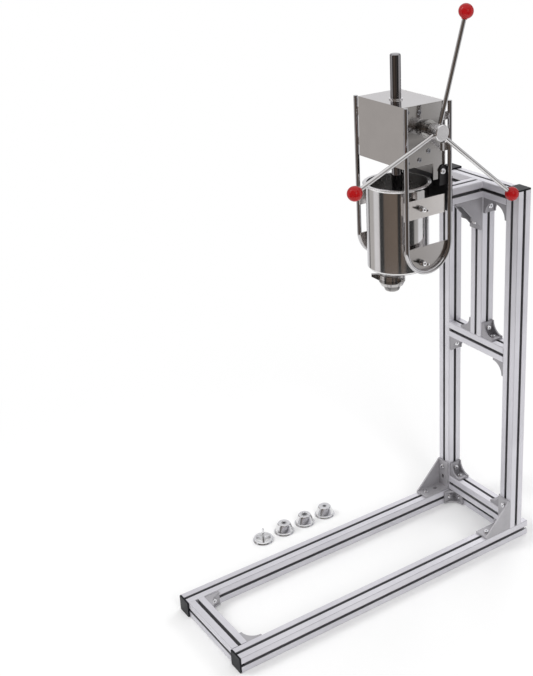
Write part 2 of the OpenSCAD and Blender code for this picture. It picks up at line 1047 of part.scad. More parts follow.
module bar_screw_holes() {
    large_screw_places()
        translate([0, 0, -side_t - 3 * small_screw_d - over])
            cylinder(d = small_screw_d + 2 * press_gap, h = side_t + 3 * small_screw_d);
}

module rod_bush() {
    color("#c2c4c8")
        translate([0, axis_y, roof_z])
            difference() {
                union() {
                    cylinder(d = bush_flange_d, h = bush_flange_h);
                    translate([0, 0, -cover_t])
                        cylinder(d = bush_flange_d - 2 * rod_hole_gap, h = cover_t + over);
                }
                translate([0, 0, -cover_t - over])
                    cylinder(d = rod_d + 2 * run_gap, h = cover_t + bush_flange_h + 2 * over);
            }
}

module housing_screws() {
    color("#55565a") {
        small_screw_places()
            screw(small_screw_d, small_head_d, small_head_h, side_t + seat_gap + cover_t + over);
        large_screw_places()
            screw(small_screw_d, screw_head_d * large_head_share, small_head_h, side_t + 2 * small_screw_d);
    }
}

module bearing_housings() {
    color("#b8babe") {
        bearing_housing(boss_len);
        mirror([1, 0, 0])
            bearing_housing(short_boss_len);
    }
}

module bearing_housing(length) {
    side_screw_place(shaft_y, shaft_z)
        difference() {
            union() {
                cylinder(d = housing_d, h = housing_t);
                cylinder(d = boss_d, h = housing_t + length);
            }
            translate([0, 0, -over])
                cylinder(d = bearing_d + 2 * press_gap, h = housing_t + length + 2 * over);
        }
}

module shaft_bushes() {
    color("#b08d57") {
        shaft_bush(boss_len);
        mirror([1, 0, 0])
            shaft_bush(short_boss_len);
    }
}

module shaft_bush(length) {
    side_screw_place(shaft_y, shaft_z)
        translate([0, 0, -side_t])
            difference() {
                cylinder(d = bearing_d, h = side_t + housing_t + length);
                translate([0, 0, -over])
                    cylinder(d = shaft_d + 2 * run_gap, h = side_t + housing_t + length + 2 * over);
            }
}

// Barrel and outlet

module barrel() {
    color("#d3d4d7")
        difference() {
            union() {
                translate([0, axis_y, barrel_z0])
                    rotate_extrude()
                        barrel_section();
                translate([0, outlet_y, spigot_z])
                    cylinder(d = spigot_d, h = spigot_len + bottom_t / 2);
                barrel_bosses();
                both_sides()
                    translate([bore_r - barrel_wall, axis_y - barrel_lug_w / 2, upper_plate_top])
                        cube([plate_x1 - bore_r + barrel_wall, barrel_lug_w, barrel_lug_h]);
            }
            translate([0, axis_y, barrel_z0 + bottom_t + barrel_corner_r - barrel_wall])
                cylinder(r = bore_r, h = barrel_h);
            translate([0, outlet_y, spigot_z - over])
                cylinder(d = spigot_bore_d, h = spigot_len + bottom_t + 2 * over);
            both_sides()
                barrel_boss_places()
                    translate([0, 0, -wing_bolt_bite - over])
                        cylinder(d = wing_bolt_d + 2 * run_gap, h = wing_bolt_bite + 2 * over);
        }
}

// The barrel's wall, bottom and rim, turned about its axis
module barrel_section() {
    inner_corner = barrel_corner_r - barrel_wall;
    polygon(concat(
        [[0, 0]],
        arc([barrel_r - barrel_corner_r, barrel_corner_r], barrel_corner_r, -90, 0),
        [[barrel_r, barrel_h - rim_t - rim_fillet]],
        arc([barrel_r + rim_fillet, barrel_h - rim_t - rim_fillet], rim_fillet, 180, 90),
        arc([(rim_d - rim_t) / 2, barrel_h - rim_t / 2], rim_t / 2, -90, 90),
        [[bore_r, barrel_h]],
        arc([bore_r - inner_corner, bottom_t + inner_corner], inner_corner, 0, -90),
        [[0, bottom_t]]
    ));
}

// Places on the outer faces of the right-hand bosses: z points outwards
module barrel_boss_places() {
    for (z = [upper_plate_mid, bend_z - lower_bolt_drop])
        translate([plate_x0 - seat_gap, axis_y, z])
            rotate([0, 90, 0])
                children();
}

module barrel_bosses() {
    length = plate_x0 - seat_gap - bore_r + barrel_wall;
    both_sides()
        barrel_boss_places()
            translate([0, 0, -length])
                cylinder(d = boss_out_d, h = length);
}

// A wing bolt whose collar sits on z = 0
module wing_bolt() {
    color("#c6c8cc") {
        translate([0, 0, -plate_t - seat_gap - wing_bolt_bite + over])
            cylinder(d = wing_bolt_d, h = plate_t + seat_gap + wing_bolt_bite);
        cylinder(d1 = wing_hub_d, d2 = wing_hub_d - wing_t, h = wing_hub_len);
        for (s = [-1, 1])
            translate([s * wing_reach, wing_t / 2, wing_hub_len])
                rotate([90, 0, 0])
                    cylinder(d = wing_d, h = wing_t);
    }
}

module wing_bolt_at(z) {
    translate([plate_x1 + seat_gap, axis_y, z])
        rotate([0, 90, 0])
            rotate([0, 0, wing_turn])
                wing_bolt();
}

module wing_bolt_upper_right() {
    wing_bolt_at(upper_plate_mid);
}

module wing_bolt_lower_right() {
    wing_bolt_at(bend_z - lower_bolt_drop);
}

module wing_bolt_upper_left() {
    mirror([1, 0, 0])
        wing_bolt_at(upper_plate_mid);
}

module wing_bolt_lower_left() {
    mirror([1, 0, 0])
        wing_bolt_at(bend_z - lower_bolt_drop);
}

module nozzle_gasket() {
    color("white")
        translate([0, outlet_y, nozzle_top_z])
            difference() {
                cylinder(d = nozzle_flange_d, h = gasket_t);
                translate([0, 0, -over])
                    cylinder(d = spigot_bore_d, h = gasket_t + 2 * over);
            }
}

module nozzle_nut() {
    r = nut_ring_d / 2;
    color("#b9bbbf")
        translate([0, outlet_y, nut_top_z - nut_ring_h])
            difference() {
                rotate(lug_angle) {
                    rotate_extrude()
                        polygon([[0, 0], [r - nut_chamfer_w, 0], [r, nut_chamfer], [r, nut_ring_h], [0, nut_ring_h]]);
                    for (a = [60, 180, 300])
                        rotate(a)
                            nut_lug();
                }
                translate([0, 0, nut_lip_t])
                    cylinder(d = spigot_d + 2 * run_gap, h = nut_ring_h);
                translate([0, 0, -over])
                    cylinder(d = nozzle_ring_d + 2 * hole_gap, h = nut_ring_h);
            }
}

module nut_lug() {
    r = (nut_ring_d + spigot_d) / 4;
    translate([0, lug_w / 2, nut_ring_h - lug_drop - lug_h])
        rotate([90, 0, 0])
            linear_extrude(lug_w)
                polygon([[r, 0], [lug_reach, lug_h - lug_end_h], [lug_reach, lug_h], [r, lug_h]]);
}

// A star nozzle that stands on its flange
module star_nozzle(rays, star_r, inner_share) {
    top_r = nozzle_tip_d / 2;
    ring_r = nozzle_ring_d / 2;
    color("#d9dadd")
        difference() {
            rotate_extrude()
                polygon([
                    [0, nozzle_h], [top_r - tip_round, nozzle_h], [top_r, nozzle_h - tip_round],
                    [ring_r - ring_step, flange_t + ring_h], [ring_r, flange_t + ring_h], [ring_r, flange_t],
                    [nozzle_flange_d / 2, flange_t], [nozzle_flange_d / 2, 0], [spigot_bore_d / 2, 0],
                    [top_r - nozzle_wall, nozzle_h - tip_wall], [0, nozzle_h - tip_wall],
                ]);
            translate([0, 0, nozzle_h - tip_wall - over])
                linear_extrude(tip_wall + 2 * over)
                    star(rays, star_r, inner_share);
        }
}

module star(rays, r, inner_share) {
    polygon([for (i = [0:2 * rays - 1])
        (i % 2 == 0 ? r : r * inner_share) * [cos(180 * i / rays), sin(180 * i / rays)]]);
}

module star_nozzle_fitted() {
    translate([0, outlet_y, nozzle_top_z])
        mirror([0, 0, 1])
            star_nozzle(large_rays, large_star_r, star_inner_share);
}

// The loose pieces stand in a row on the floor beside the base
module in_row(i) {
    translate([-loose_x, (i - 1) * loose_pitch, 0])
        children();
}

module star_nozzle_fine() {
    in_row(0)
        star_nozzle(fine_rays, fine_star_r, fine_inner_share);
}

module star_nozzle_large() {
    in_row(1)
        star_nozzle(large_rays, large_star_r, star_inner_share);
}

module star_nozzle_small() {
    in_row(2)
        star_nozzle(small_rays, small_star_r, star_inner_share);
}

module hollow_nozzle_core() {
    color("#d9dadd")
        in_row(-1) {
            difference() {
                union() {
                    cylinder(d = nozzle_flange_d, h = flange_t);
                    cylinder(d = nozzle_ring_d, h = core_h);
                }
                translate([0, 0, -over])
                    cylinder(d = core_ring_d, h = core_h + 2 * over);
            }
            for (a = [0:120:240])
                rotate(a + 90)
                    translate([0, -core_arm_w / 2, 0])
                        cube([core_ring_d / 2 + over, core_arm_w, core_arm_h]);
            cylinder(d = core_hub_d, h = core_h);
            cylinder(d = core_pin_d, h = core_pin_h);
        }
}

// Rack, pinion and crank

function involute_angle(a) = tan(a) * 180 / PI - a;

// Half the angle that a pinion tooth fills at radius r
function half_tooth(r) =
    90 / pinion_teeth * (1 - backlash_share) + involute_angle(pressure_angle)
    - involute_angle(r > base_r() ? acos(base_r() / r) : 0);
function base_r() = pitch_r * cos(pressure_angle);
function polar(r, a) = r * [cos(a), sin(a)];
function flank_r(i) = base_r() + (pitch_r + addendum - base_r()) * i / flank_steps;

module pinion_outline() {
    root_r = pitch_r - dedendum;
    polygon([for (k = [0:pinion_teeth - 1])
        let (mid = 180 + k * 360 / pinion_teeth)
            each concat(
                [polar(root_r, mid - half_tooth(base_r()))],
                [for (i = [0:flank_steps]) polar(flank_r(i), mid - half_tooth(flank_r(i)))],
                [for (i = [flank_steps:-1:0]) polar(flank_r(i), mid + half_tooth(flank_r(i)))],
                [polar(root_r, mid + half_tooth(base_r()))]
            )]);
}

module on_shaft(x) {
    translate([x, shaft_y, shaft_z])
        cyclic()
            children();
}

module pinion() {
    color("#8b8d91")
        difference() {
            on_shaft(-pinion_w / 2)
                difference() {
                    linear_extrude(pinion_w)
                        pinion_outline();
                    translate([0, 0, -over])
                        cylinder(d = shaft_d + 2 * press_gap, h = pinion_w + 2 * over);
                }
            pinion_pin_place()
                cylinder(d = pin_d + 2 * press_gap, h = 4 * pitch_r, center = true);
        }
}

// The pinion's pin lies across the shaft, through the gap between two teeth
module pinion_pin_place() {
    on_shaft(0)
        rotate(180 / pinion_teeth)
            rotate([0, 90, 0])
                children();
}

module hub_pin_place() {
    on_shaft(hub_x)
        rotate(crank_phase + 60)
            rotate([0, 90, 0])
                children();
}

module shaft_pins() {
    root_r = pitch_r - dedendum;
    color("#6f7175") {
        pinion_pin_place()
            cylinder(d = pin_d, h = 2 * (root_r - pin_recess), center = true);
        hub_pin_place()
            translate([0, 0, -pin_d])
                cylinder(d = pin_d, h = hub_d / 2 + pin_d - pin_recess);
    }
}

module crank_shaft() {
    x0 = -box_x - housing_t - short_boss_len - seat_gap - collar_len;
    color("#b6b8bc")
        difference() {
            on_shaft(x0)
                cylinder(d = shaft_d, h = hub_x + hub_len / 2 - hub_cap_t - seat_gap - x0);
            pinion_pin_place()
                cylinder(d = pin_d + 2 * press_gap, h = 4 * pitch_r, center = true);
            hub_pin_place()
                translate([0, 0, -shaft_d])
                    cylinder(d = pin_d + 2 * press_gap, h = 2 * shaft_d);
        }
}

// Sleeves that keep the pinion in the middle, and the collar at the shaft's far end
module shaft_sleeves() {
    sleeve_x0 = pinion_w / 2 + seat_gap;
    sleeve_x1 = flange_x1 - cover_t;
    color("#9fa1a5") {
        both_sides()
            ring_on_shaft(sleeve_x0, sleeve_x1 - sleeve_x0, sleeve_d);
        mirror([1, 0, 0])
            ring_on_shaft(box_x + housing_t + short_boss_len + seat_gap, collar_len, collar_d);
    }
}

module ring_on_shaft(x, length, d) {
    on_shaft(x)
        difference() {
            cylinder(d = d, h = length);
            translate([0, 0, -over])
                cylinder(d = shaft_d + 2 * press_gap, h = length + 2 * over);
        }
}

// Places along each spoke: the child's z runs from the hub's middle to the ball's centre
module spoke_places() {
    for (k = [0:2])
        on_shaft(hub_x)
            rotate(crank_phase + 120 * k)
                rotate([0, 90 - spoke_tilt, 0])
                    children();
}

module crank_hub() {
    color("#c4c6ca")
        difference() {
            on_shaft(hub_x - hub_len / 2)
                difference() {
                    rotate_extrude()
                        polygon([
                            [0, 0], [hub_d / 2 - hub_bevel, 0], [hub_d / 2, hub_bevel], [hub_d / 2, hub_len - hub_bevel],
                            [hub_d / 2 - hub_bevel, hub_len], [0, hub_len],
                        ]);
                    translate([0, 0, -over])
                        cylinder(d = shaft_d + 2 * press_gap, h = hub_len - hub_cap_t + over);
                }
            spoke_places()
                translate([0, 0, hub_d / 2 - spoke_socket])
                    cylinder(d = spoke_d + 2 * press_gap, h = 2 * spoke_socket);
            hub_pin_place()
                cylinder(d = pin_d + 2 * press_gap, h = hub_d);
        }
}

module crank_spokes() {
    z0 = hub_d / 2 - spoke_socket + seat_gap;
    color("#d6d8dc")
        spoke_places()
            translate([0, 0, z0])
                cylinder(d = spoke_d, h = ball_dist - z0);
}

module ball_knobs() {
    color("#b3161c")
        spoke_places()
            translate([0, 0, ball_dist])
                difference() {
                    sphere(d = ball_d);
                    translate([0, 0, -ball_d])
                        cylinder(d = spoke_d + 2 * press_gap, h = ball_d + seat_gap);
                }
}

module rack_rod() {
    rod_top = roof_z + rod_show;
    color("#cfd1d5")
        difference() {
            union() {
                translate([0, axis_y, plunger_z1])
                    cylinder(d = rod_d, h = rod_top - rod_chamfer - plunger_z1);
                translate([0, axis_y, rod_top - rod_chamfer])
                    cylinder(d1 = rod_d, d2 = rod_d - 2 * rod_chamfer, h = rod_chamfer);
                translate([0, axis_y, plunger_z0 - rod_nut_h])
                    cylinder(d = neck_d, h = plunger_t + rod_nut_h);
            }
            translate([-rod_d, axis_y, 0])
                cyclic()
                    linear_extrude(2 * rod_d)
                        rack_cut();
        }
}

// Everything behind the rack's teeth and between them, in the plane of y and z
module rack_cut() {
    tip_y = rack_offset + addendum;
    root_y = rack_offset - dedendum;
    gap = gear_pitch / 4 * (1 + backlash_share);
    tip_half = gap + addendum * tan(pressure_angle);
    root_half = gap - dedendum * tan(pressure_angle);
    low = -ceil((travel_up + rack_spare) / gear_pitch);
    high = ceil((travel_down + rack_spare) / gear_pitch);
    polygon(concat(
        [[rod_d, shaft_z + (low - 0.5) * gear_pitch], [tip_y, shaft_z + (low - 0.5) * gear_pitch]],
        [for (k = [low:high], p = [[tip_y, -tip_half], [root_y, -root_half], [root_y, root_half], [tip_y, tip_half]])
            [p[0], shaft_z + k * gear_pitch + p[1]]],
        [[tip_y, shaft_z + (high + 0.5) * gear_pitch], [rod_d, shaft_z + (high + 0.5) * gear_pitch]]
    ));
}

module plunger_disc() {
    r = bore_r - plunger_gap;
    groove_z = (plunger_t - seal_h) / 2;
    color("#e9e9e6")
        translate([0, axis_y, plunger_z0])
            difference() {
                rotate_extrude()
                    polygon([
                        [0, 0], [r - disc_chamfer, 0], [r, disc_chamfer], [r, groove_z], [r - seal_depth, groove_z],
                        [r - seal_depth, groove_z + seal_h], [r, groove_z + seal_h], [r, plunger_t - disc_chamfer],
                        [r - disc_chamfer, plunger_t], [0, plunger_t],
                    ]);
                translate([0, 0, -over])
                    cylinder(d = neck_d + 2 * press_gap, h = plunger_t + 2 * over);
            }
}

module plunger_seal() {
    r_in = bore_r - plunger_gap - seal_depth + press_gap;
    r_out = bore_r - seal_gap;
    bead = (seal_h - seat_gap) / 4;
    h = seal_h - seat_gap;
    color("#e4e2dc")
        translate([0, axis_y, plunger_z0 + (plunger_t - h) / 2])
            rotate_extrude()
                polygon([[r_in, 0], [r_out - bead, 0], [r_out, bead], [r_out, h - bead], [r_out - bead, h], [r_in, h]]);
}

module plunger_nut() {
    color("#a7a9ad")
        translate([0, axis_y, plunger_z0 - rod_nut_h])
            difference() {
                cylinder(d = rod_nut_af / cos(30), h = rod_nut_h, $fn = 6);
                translate([0, 0, -over])
                    cylinder(d = neck_d + 2 * press_gap, h = rod_nut_h + 2 * over);
            }
}

base_rail_left();
base_rail_right();
base_cross_front();
base_cross_rear();
post_left();
post_right();
post_cross_lower();
post_cross_middle();
post_cross_top();
centre_upright();
support_arm();
end_caps();
base_corner_brackets();
post_corner_brackets();
foot_gussets();
arm_gusset();
arm_front_bracket();
bracket_screws();
slot_nuts();
mount_plate();
mount_screws();
side_frame_left();
side_frame_right();
frame_spacers();
side_plates();
gearbox_cover();
gearbox_side_left();
gearbox_side_right();
gearbox_rear_panel();
gearbox_floor();
guide_bars();
rod_bush();
housing_screws();
bearing_housings();
shaft_bushes();
barrel();
wing_bolt_upper_left();
wing_bolt_lower_left();
wing_bolt_upper_right();
wing_bolt_lower_right();
nozzle_gasket();
nozzle_nut();
star_nozzle_fitted();
star_nozzle_fine();
star_nozzle_large();
star_nozzle_small();
hollow_nozzle_core();
crank_shaft();
pinion();
shaft_pins();
shaft_sleeves();
crank_hub();
crank_spokes();
ball_knobs();
rack_rod();
plunger_disc();
plunger_seal();
plunger_nut();
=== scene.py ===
# Dresses a hand-cranked churro maker on its aluminium profile stand and sets its studio.
import json
import math

import bpy
from mathutils import Matrix, Vector

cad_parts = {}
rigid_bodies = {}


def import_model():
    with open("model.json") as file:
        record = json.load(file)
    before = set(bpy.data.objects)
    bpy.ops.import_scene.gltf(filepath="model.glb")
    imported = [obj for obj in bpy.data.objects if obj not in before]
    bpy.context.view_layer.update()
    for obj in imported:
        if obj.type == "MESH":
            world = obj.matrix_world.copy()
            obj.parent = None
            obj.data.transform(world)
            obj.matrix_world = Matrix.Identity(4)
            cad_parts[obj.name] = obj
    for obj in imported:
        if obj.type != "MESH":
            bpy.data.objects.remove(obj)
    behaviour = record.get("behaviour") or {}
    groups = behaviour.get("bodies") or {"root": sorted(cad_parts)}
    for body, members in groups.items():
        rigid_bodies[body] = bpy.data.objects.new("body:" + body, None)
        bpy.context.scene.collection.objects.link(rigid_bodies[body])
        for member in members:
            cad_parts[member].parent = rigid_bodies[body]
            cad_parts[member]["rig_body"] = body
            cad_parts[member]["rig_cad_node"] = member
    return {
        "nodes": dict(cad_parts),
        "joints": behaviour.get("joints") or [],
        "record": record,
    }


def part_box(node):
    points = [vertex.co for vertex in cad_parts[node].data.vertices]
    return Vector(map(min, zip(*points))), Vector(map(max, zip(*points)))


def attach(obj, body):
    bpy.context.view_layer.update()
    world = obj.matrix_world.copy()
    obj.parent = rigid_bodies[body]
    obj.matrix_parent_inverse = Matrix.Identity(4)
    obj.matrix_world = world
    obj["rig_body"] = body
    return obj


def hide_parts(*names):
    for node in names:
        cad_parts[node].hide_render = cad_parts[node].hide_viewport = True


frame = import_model()

bl_info = {
    "name": "Churro maker",
    "version": (1, 0, 0),
    "blender": (4, 5, 0),
    "location": "3D View > Sidebar > Churro maker",
    "description": "Finishes the churro maker's pieces and sets up its studio",
    "category": "Object",
}

MM = 0.001
# Points nearer than this are one point
SAME_PLACE = 0.002 * MM


# Materials


def node_of(tree, kind, **values):
    """Adds a node and sets its attributes and its unlinked sockets."""
    node = tree.nodes.new("ShaderNode" + kind)
    for key, value in values.items():
        if key in node.inputs:
            node.inputs[key].default_value = value
        else:
            setattr(node, key, value)
    return node


def fill_ramp(node, stops):
    """Gives a colour ramp its (position, grey or colour) stops."""
    elements = node.color_ramp.elements
    while len(elements) < len(stops):
        elements.new(0.5)
    for element, (position, value) in zip(elements, stops):
        element.position = position
        colour = (value,) * 3 if isinstance(value, (int, float)) else value
        element.color = (*colour, 1)


class Finish:
    """A procedural material, built step by step on Object coordinates."""

    def __init__(self, name, metallic=0.0, **sockets):
        self.material = bpy.data.materials.new(name)
        self.material.use_nodes = True
        self.tree = self.material.node_tree
        self.shader = self.tree.nodes["Principled BSDF"]
        self.shader.inputs["Metallic"].default_value = metallic
        for key, value in sockets.items():
            self.shader.inputs[key.replace("_", " ")].default_value = value
        self.place = node_of(self.tree, "TexCoord").outputs["Object"]
        self.normal = None

    def link(self, source, target):
        self.tree.links.new(source, target)

    def noise(self, scale, detail=4.0, rough=0.55, stretch=(1, 1, 1)):
        """Noise over the surface; stretch divides its scale along each axis."""
        mapping = node_of(self.tree, "Mapping")
        mapping.inputs["Scale"].default_value = [1 / s for s in stretch]
        self.link(self.place, mapping.inputs["Vector"])
        noise = node_of(self.tree, "TexNoise", Scale=scale, Detail=detail, Roughness=rough)
        self.link(mapping.outputs[0], noise.inputs["Vector"])
        return noise.outputs["Fac"]

    def ramp(self, source, stops):
        """Colour ramp with (position, grey or colour) stops."""
        ramp = node_of(self.tree, "ValToRGB")
        fill_ramp(ramp, stops)
        self.link(source, ramp.inputs["Fac"])
        return ramp.outputs["Color"]

    def multiplied(self, first, second):
        mix = node_of(self.tree, "Mix", data_type="RGBA", blend_type="MULTIPLY")
        mix.inputs["Factor"].default_value = 1.0
        self.link(first, mix.inputs["A"])
        self.link(second, mix.inputs["B"])
        return mix.outputs["Result"]

    def away_from(self, centre):
        """The place as seen from a centre."""
        away = node_of(self.tree, "VectorMath", operation="SUBTRACT")
        away.inputs[1].default_value = centre
        self.link(self.place, away.inputs[0])
        return away.outputs[0]

    def size_along_axes(self, vector):
        """A vector's size along each axis, whichever way it points."""
        size = node_of(self.tree, "VectorMath", operation="ABSOLUTE")
        self.link(vector, size.inputs[0])
        parts = node_of(self.tree, "SeparateXYZ")
        self.link(size.outputs[0], parts.inputs[0])
        return parts.outputs

    def distance_from_axis(self, centre):
        """Distance from an upright axis, in tenths of a metre."""
        flat = node_of(self.tree, "VectorMath", operation="MULTIPLY")
        flat.inputs[1].default_value = (10, 10, 0)
        self.link(self.away_from(centre), flat.inputs[0])
        length = node_of(self.tree, "VectorMath", operation="LENGTH")
        self.link(flat.outputs[0], length.inputs[0])
        return length.outputs["Value"]

    def share_along(self, axis, low, high):
        """Share of the way from one distance to another, counted from the middle plane or the floor."""
        share = node_of(self.tree, "MapRange")
        share.inputs["From Min"].default_value = low
        share.inputs["From Max"].default_value = high
        self.link(self.size_along_axes(self.place)[axis], share.inputs["Value"])
        return share.outputs[0]

    def depth_below_faces(self, centre, axis):
        """Share of the way from a profile's middle to its faces, taken across its length."""
        parts = self.size_along_axes(self.away_from(centre))
        farthest = node_of(self.tree, "Math", operation="MAXIMUM")
        for index, across in enumerate(a for a in range(3) if a != axis):
            self.link(parts[across], farthest.inputs[index])
        share = node_of(self.tree, "Math", operation="DIVIDE")
        share.inputs[1].default_value = PROFILE_HALF
        self.link(farthest.outputs[0], share.inputs[0])
        return share.outputs[0]

    def colour(self, output):
        self.link(output, self.shader.inputs["Base Color"])
        return self

    def roughness(self, output):
        self.link(output, self.shader.inputs["Roughness"])
        return self

    def bump(self, output, height, strength=0.5):
        node = node_of(self.tree, "Bump", Strength=strength, Distance=height)
        self.link(output, node.inputs["Height"])
        if self.normal is not None:
            self.link(self.normal, node.inputs["Normal"])
        self.normal = node.outputs["Normal"]
        self.link(self.normal, self.shader.inputs["Normal"])
        return self


def middle_of(node):
    """The middle of a CAD piece's box."""
    low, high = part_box(node)
    return (low + high) / 2


def extent(points):
    """The lowest and the highest corner of the box round some points."""
    return (
        Vector([min(point[i] for point in points) for i in range(3)]),
        Vector([max(point[i] for point in points) for i in range(3)]),
    )


def reach(axis, first, last=None):
    """An axis, with where one CAD piece begins and where it, or another, ends along it."""
    return axis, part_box(first)[0][axis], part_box(last or first)[1][axis]


def shades(colour, low, high):
    """Two shades of a colour, a darker and a lighter one."""
    return [tuple(channel * share for channel in colour) for share in (low, high)]


def metal(
        name, colour, rough, spread=0.06, stretch=(1, 1, 1), grain=900.0, height=0.00002, cloud=22.0, uneven=0.10,
        painted_reflection_bands=(), metallic=1.0):
    """Worked metal: fine grain along one direction, smudges that change the gloss, and painted reflections as stripes
    of tone along an axis.
    """
    finish = Finish(name, metallic=metallic)
    smudge = finish.noise(cloud, 5.0, 0.6)
    lines = finish.noise(grain, 3.0, 0.6, stretch)
    dark, light = shades(colour, 1 - uneven, 1 + 0.4 * uneven)
    tone = finish.ramp(smudge, [(0.3, dark), (0.7, light)])
    # Painted reflection: stripes of tone along one axis stand in for reflections
    if painted_reflection_bands:
        tone = finish.multiplied(tone, finish.ramp(finish.share_along(*painted_reflection_bands[0]), painted_reflection_bands[1:]))
    finish.colour(tone)
    finish.roughness(finish.ramp(smudge, [(0.25, rough + spread), (0.75, max(rough - spread, 0.03))]))
    return finish.bump(lines, height, 0.25).material


def anodised(name, centre, axis):
    """Natural anodised extrusion: satin, die lines along its length, and painted shade that darkens the inside of its
    slots.
    """
    finish = Finish(name, metallic=0.55)
    cloud = finish.noise(9.0, 4.0, 0.5)
    lines = finish.noise(420.0, 4.0, 0.65, [LONG if a == axis else 1 for a in range(3)])
    tone = finish.ramp(cloud, [(0.3, (0.62, 0.61, 0.65)), (0.7, (0.70, 0.69, 0.73))])
    # Painted shade: the colour darkens from the faces towards the middle, inside the slots
    shade = finish.ramp(finish.depth_below_faces(centre, axis), [(0.0, 0.22), (0.85, 0.30), (0.97, 0.7), (0.99, 1.0)])
    finish.colour(finish.multiplied(tone, shade))
    finish.roughness(finish.ramp(lines, [(0.2, 0.34), (0.8, 0.46)]))
    finish.bump(lines, 0.00006, 0.35)
    return finish.bump(finish.noise(2600.0, 2.0, 0.5), 0.00001, 0.3).material


def barrel_metal(name, colour, rough):
    """Polished outside with faint spinning lines, satin on the rim and duller inside the bore, where the colour is
    darkened as painted shade.
    """
    finish = Finish(name, metallic=1.0)
    smudge = finish.noise(14.0, 5.0, 0.6)
    from_axis = finish.distance_from_axis(middle_of("plunger_disc"))
    # Painted shade: the colour is darkened inside the bore
    inside = finish.ramp(from_axis, [(0.0, 0.62), (0.6930, 0.66), (0.6945, 1.0)])
    dark, light = shades(colour, 0.93, 1.03)
    finish.colour(finish.multiplied(finish.ramp(smudge, [(0.3, dark), (0.7, light)]), inside))
    gloss = finish.ramp(smudge, [(0.25, 1.0), (0.75, 0.7)])
    zones = finish.ramp(
        from_axis, [(0.0, 0.34), (0.6930, 0.34), (0.6945, rough), (0.7060, rough), (0.7080, 0.30), (1.0, 0.30)])
    finish.roughness(finish.multiplied(zones, gloss))
    return finish.bump(finish.noise(700.0, 3.0, 0.6, (30, 30, 1)), 0.00001, 0.2).material


def moulded(name, colour, rough, height, scale, shine=0.5, uneven=0.14):
    """Moulded plastic or paint: a fine grain, with slightly uneven gloss and tone."""
    finish = Finish(name, Specular_IOR_Level=shine)
    cloud = finish.noise(35.0, 4.0, 0.55)
    dark, light = shades(colour, 1 - uneven, 1 + 0.8 * uneven)
    finish.colour(finish.ramp(cloud, [(0.3, dark), (0.7, light)]))
    finish.roughness(finish.ramp(cloud, [(0.3, rough * 0.9), (0.7, rough * 1.12)]))
    return finish.bump(finish.noise(scale, 3.0, 0.6), height, 0.4).material


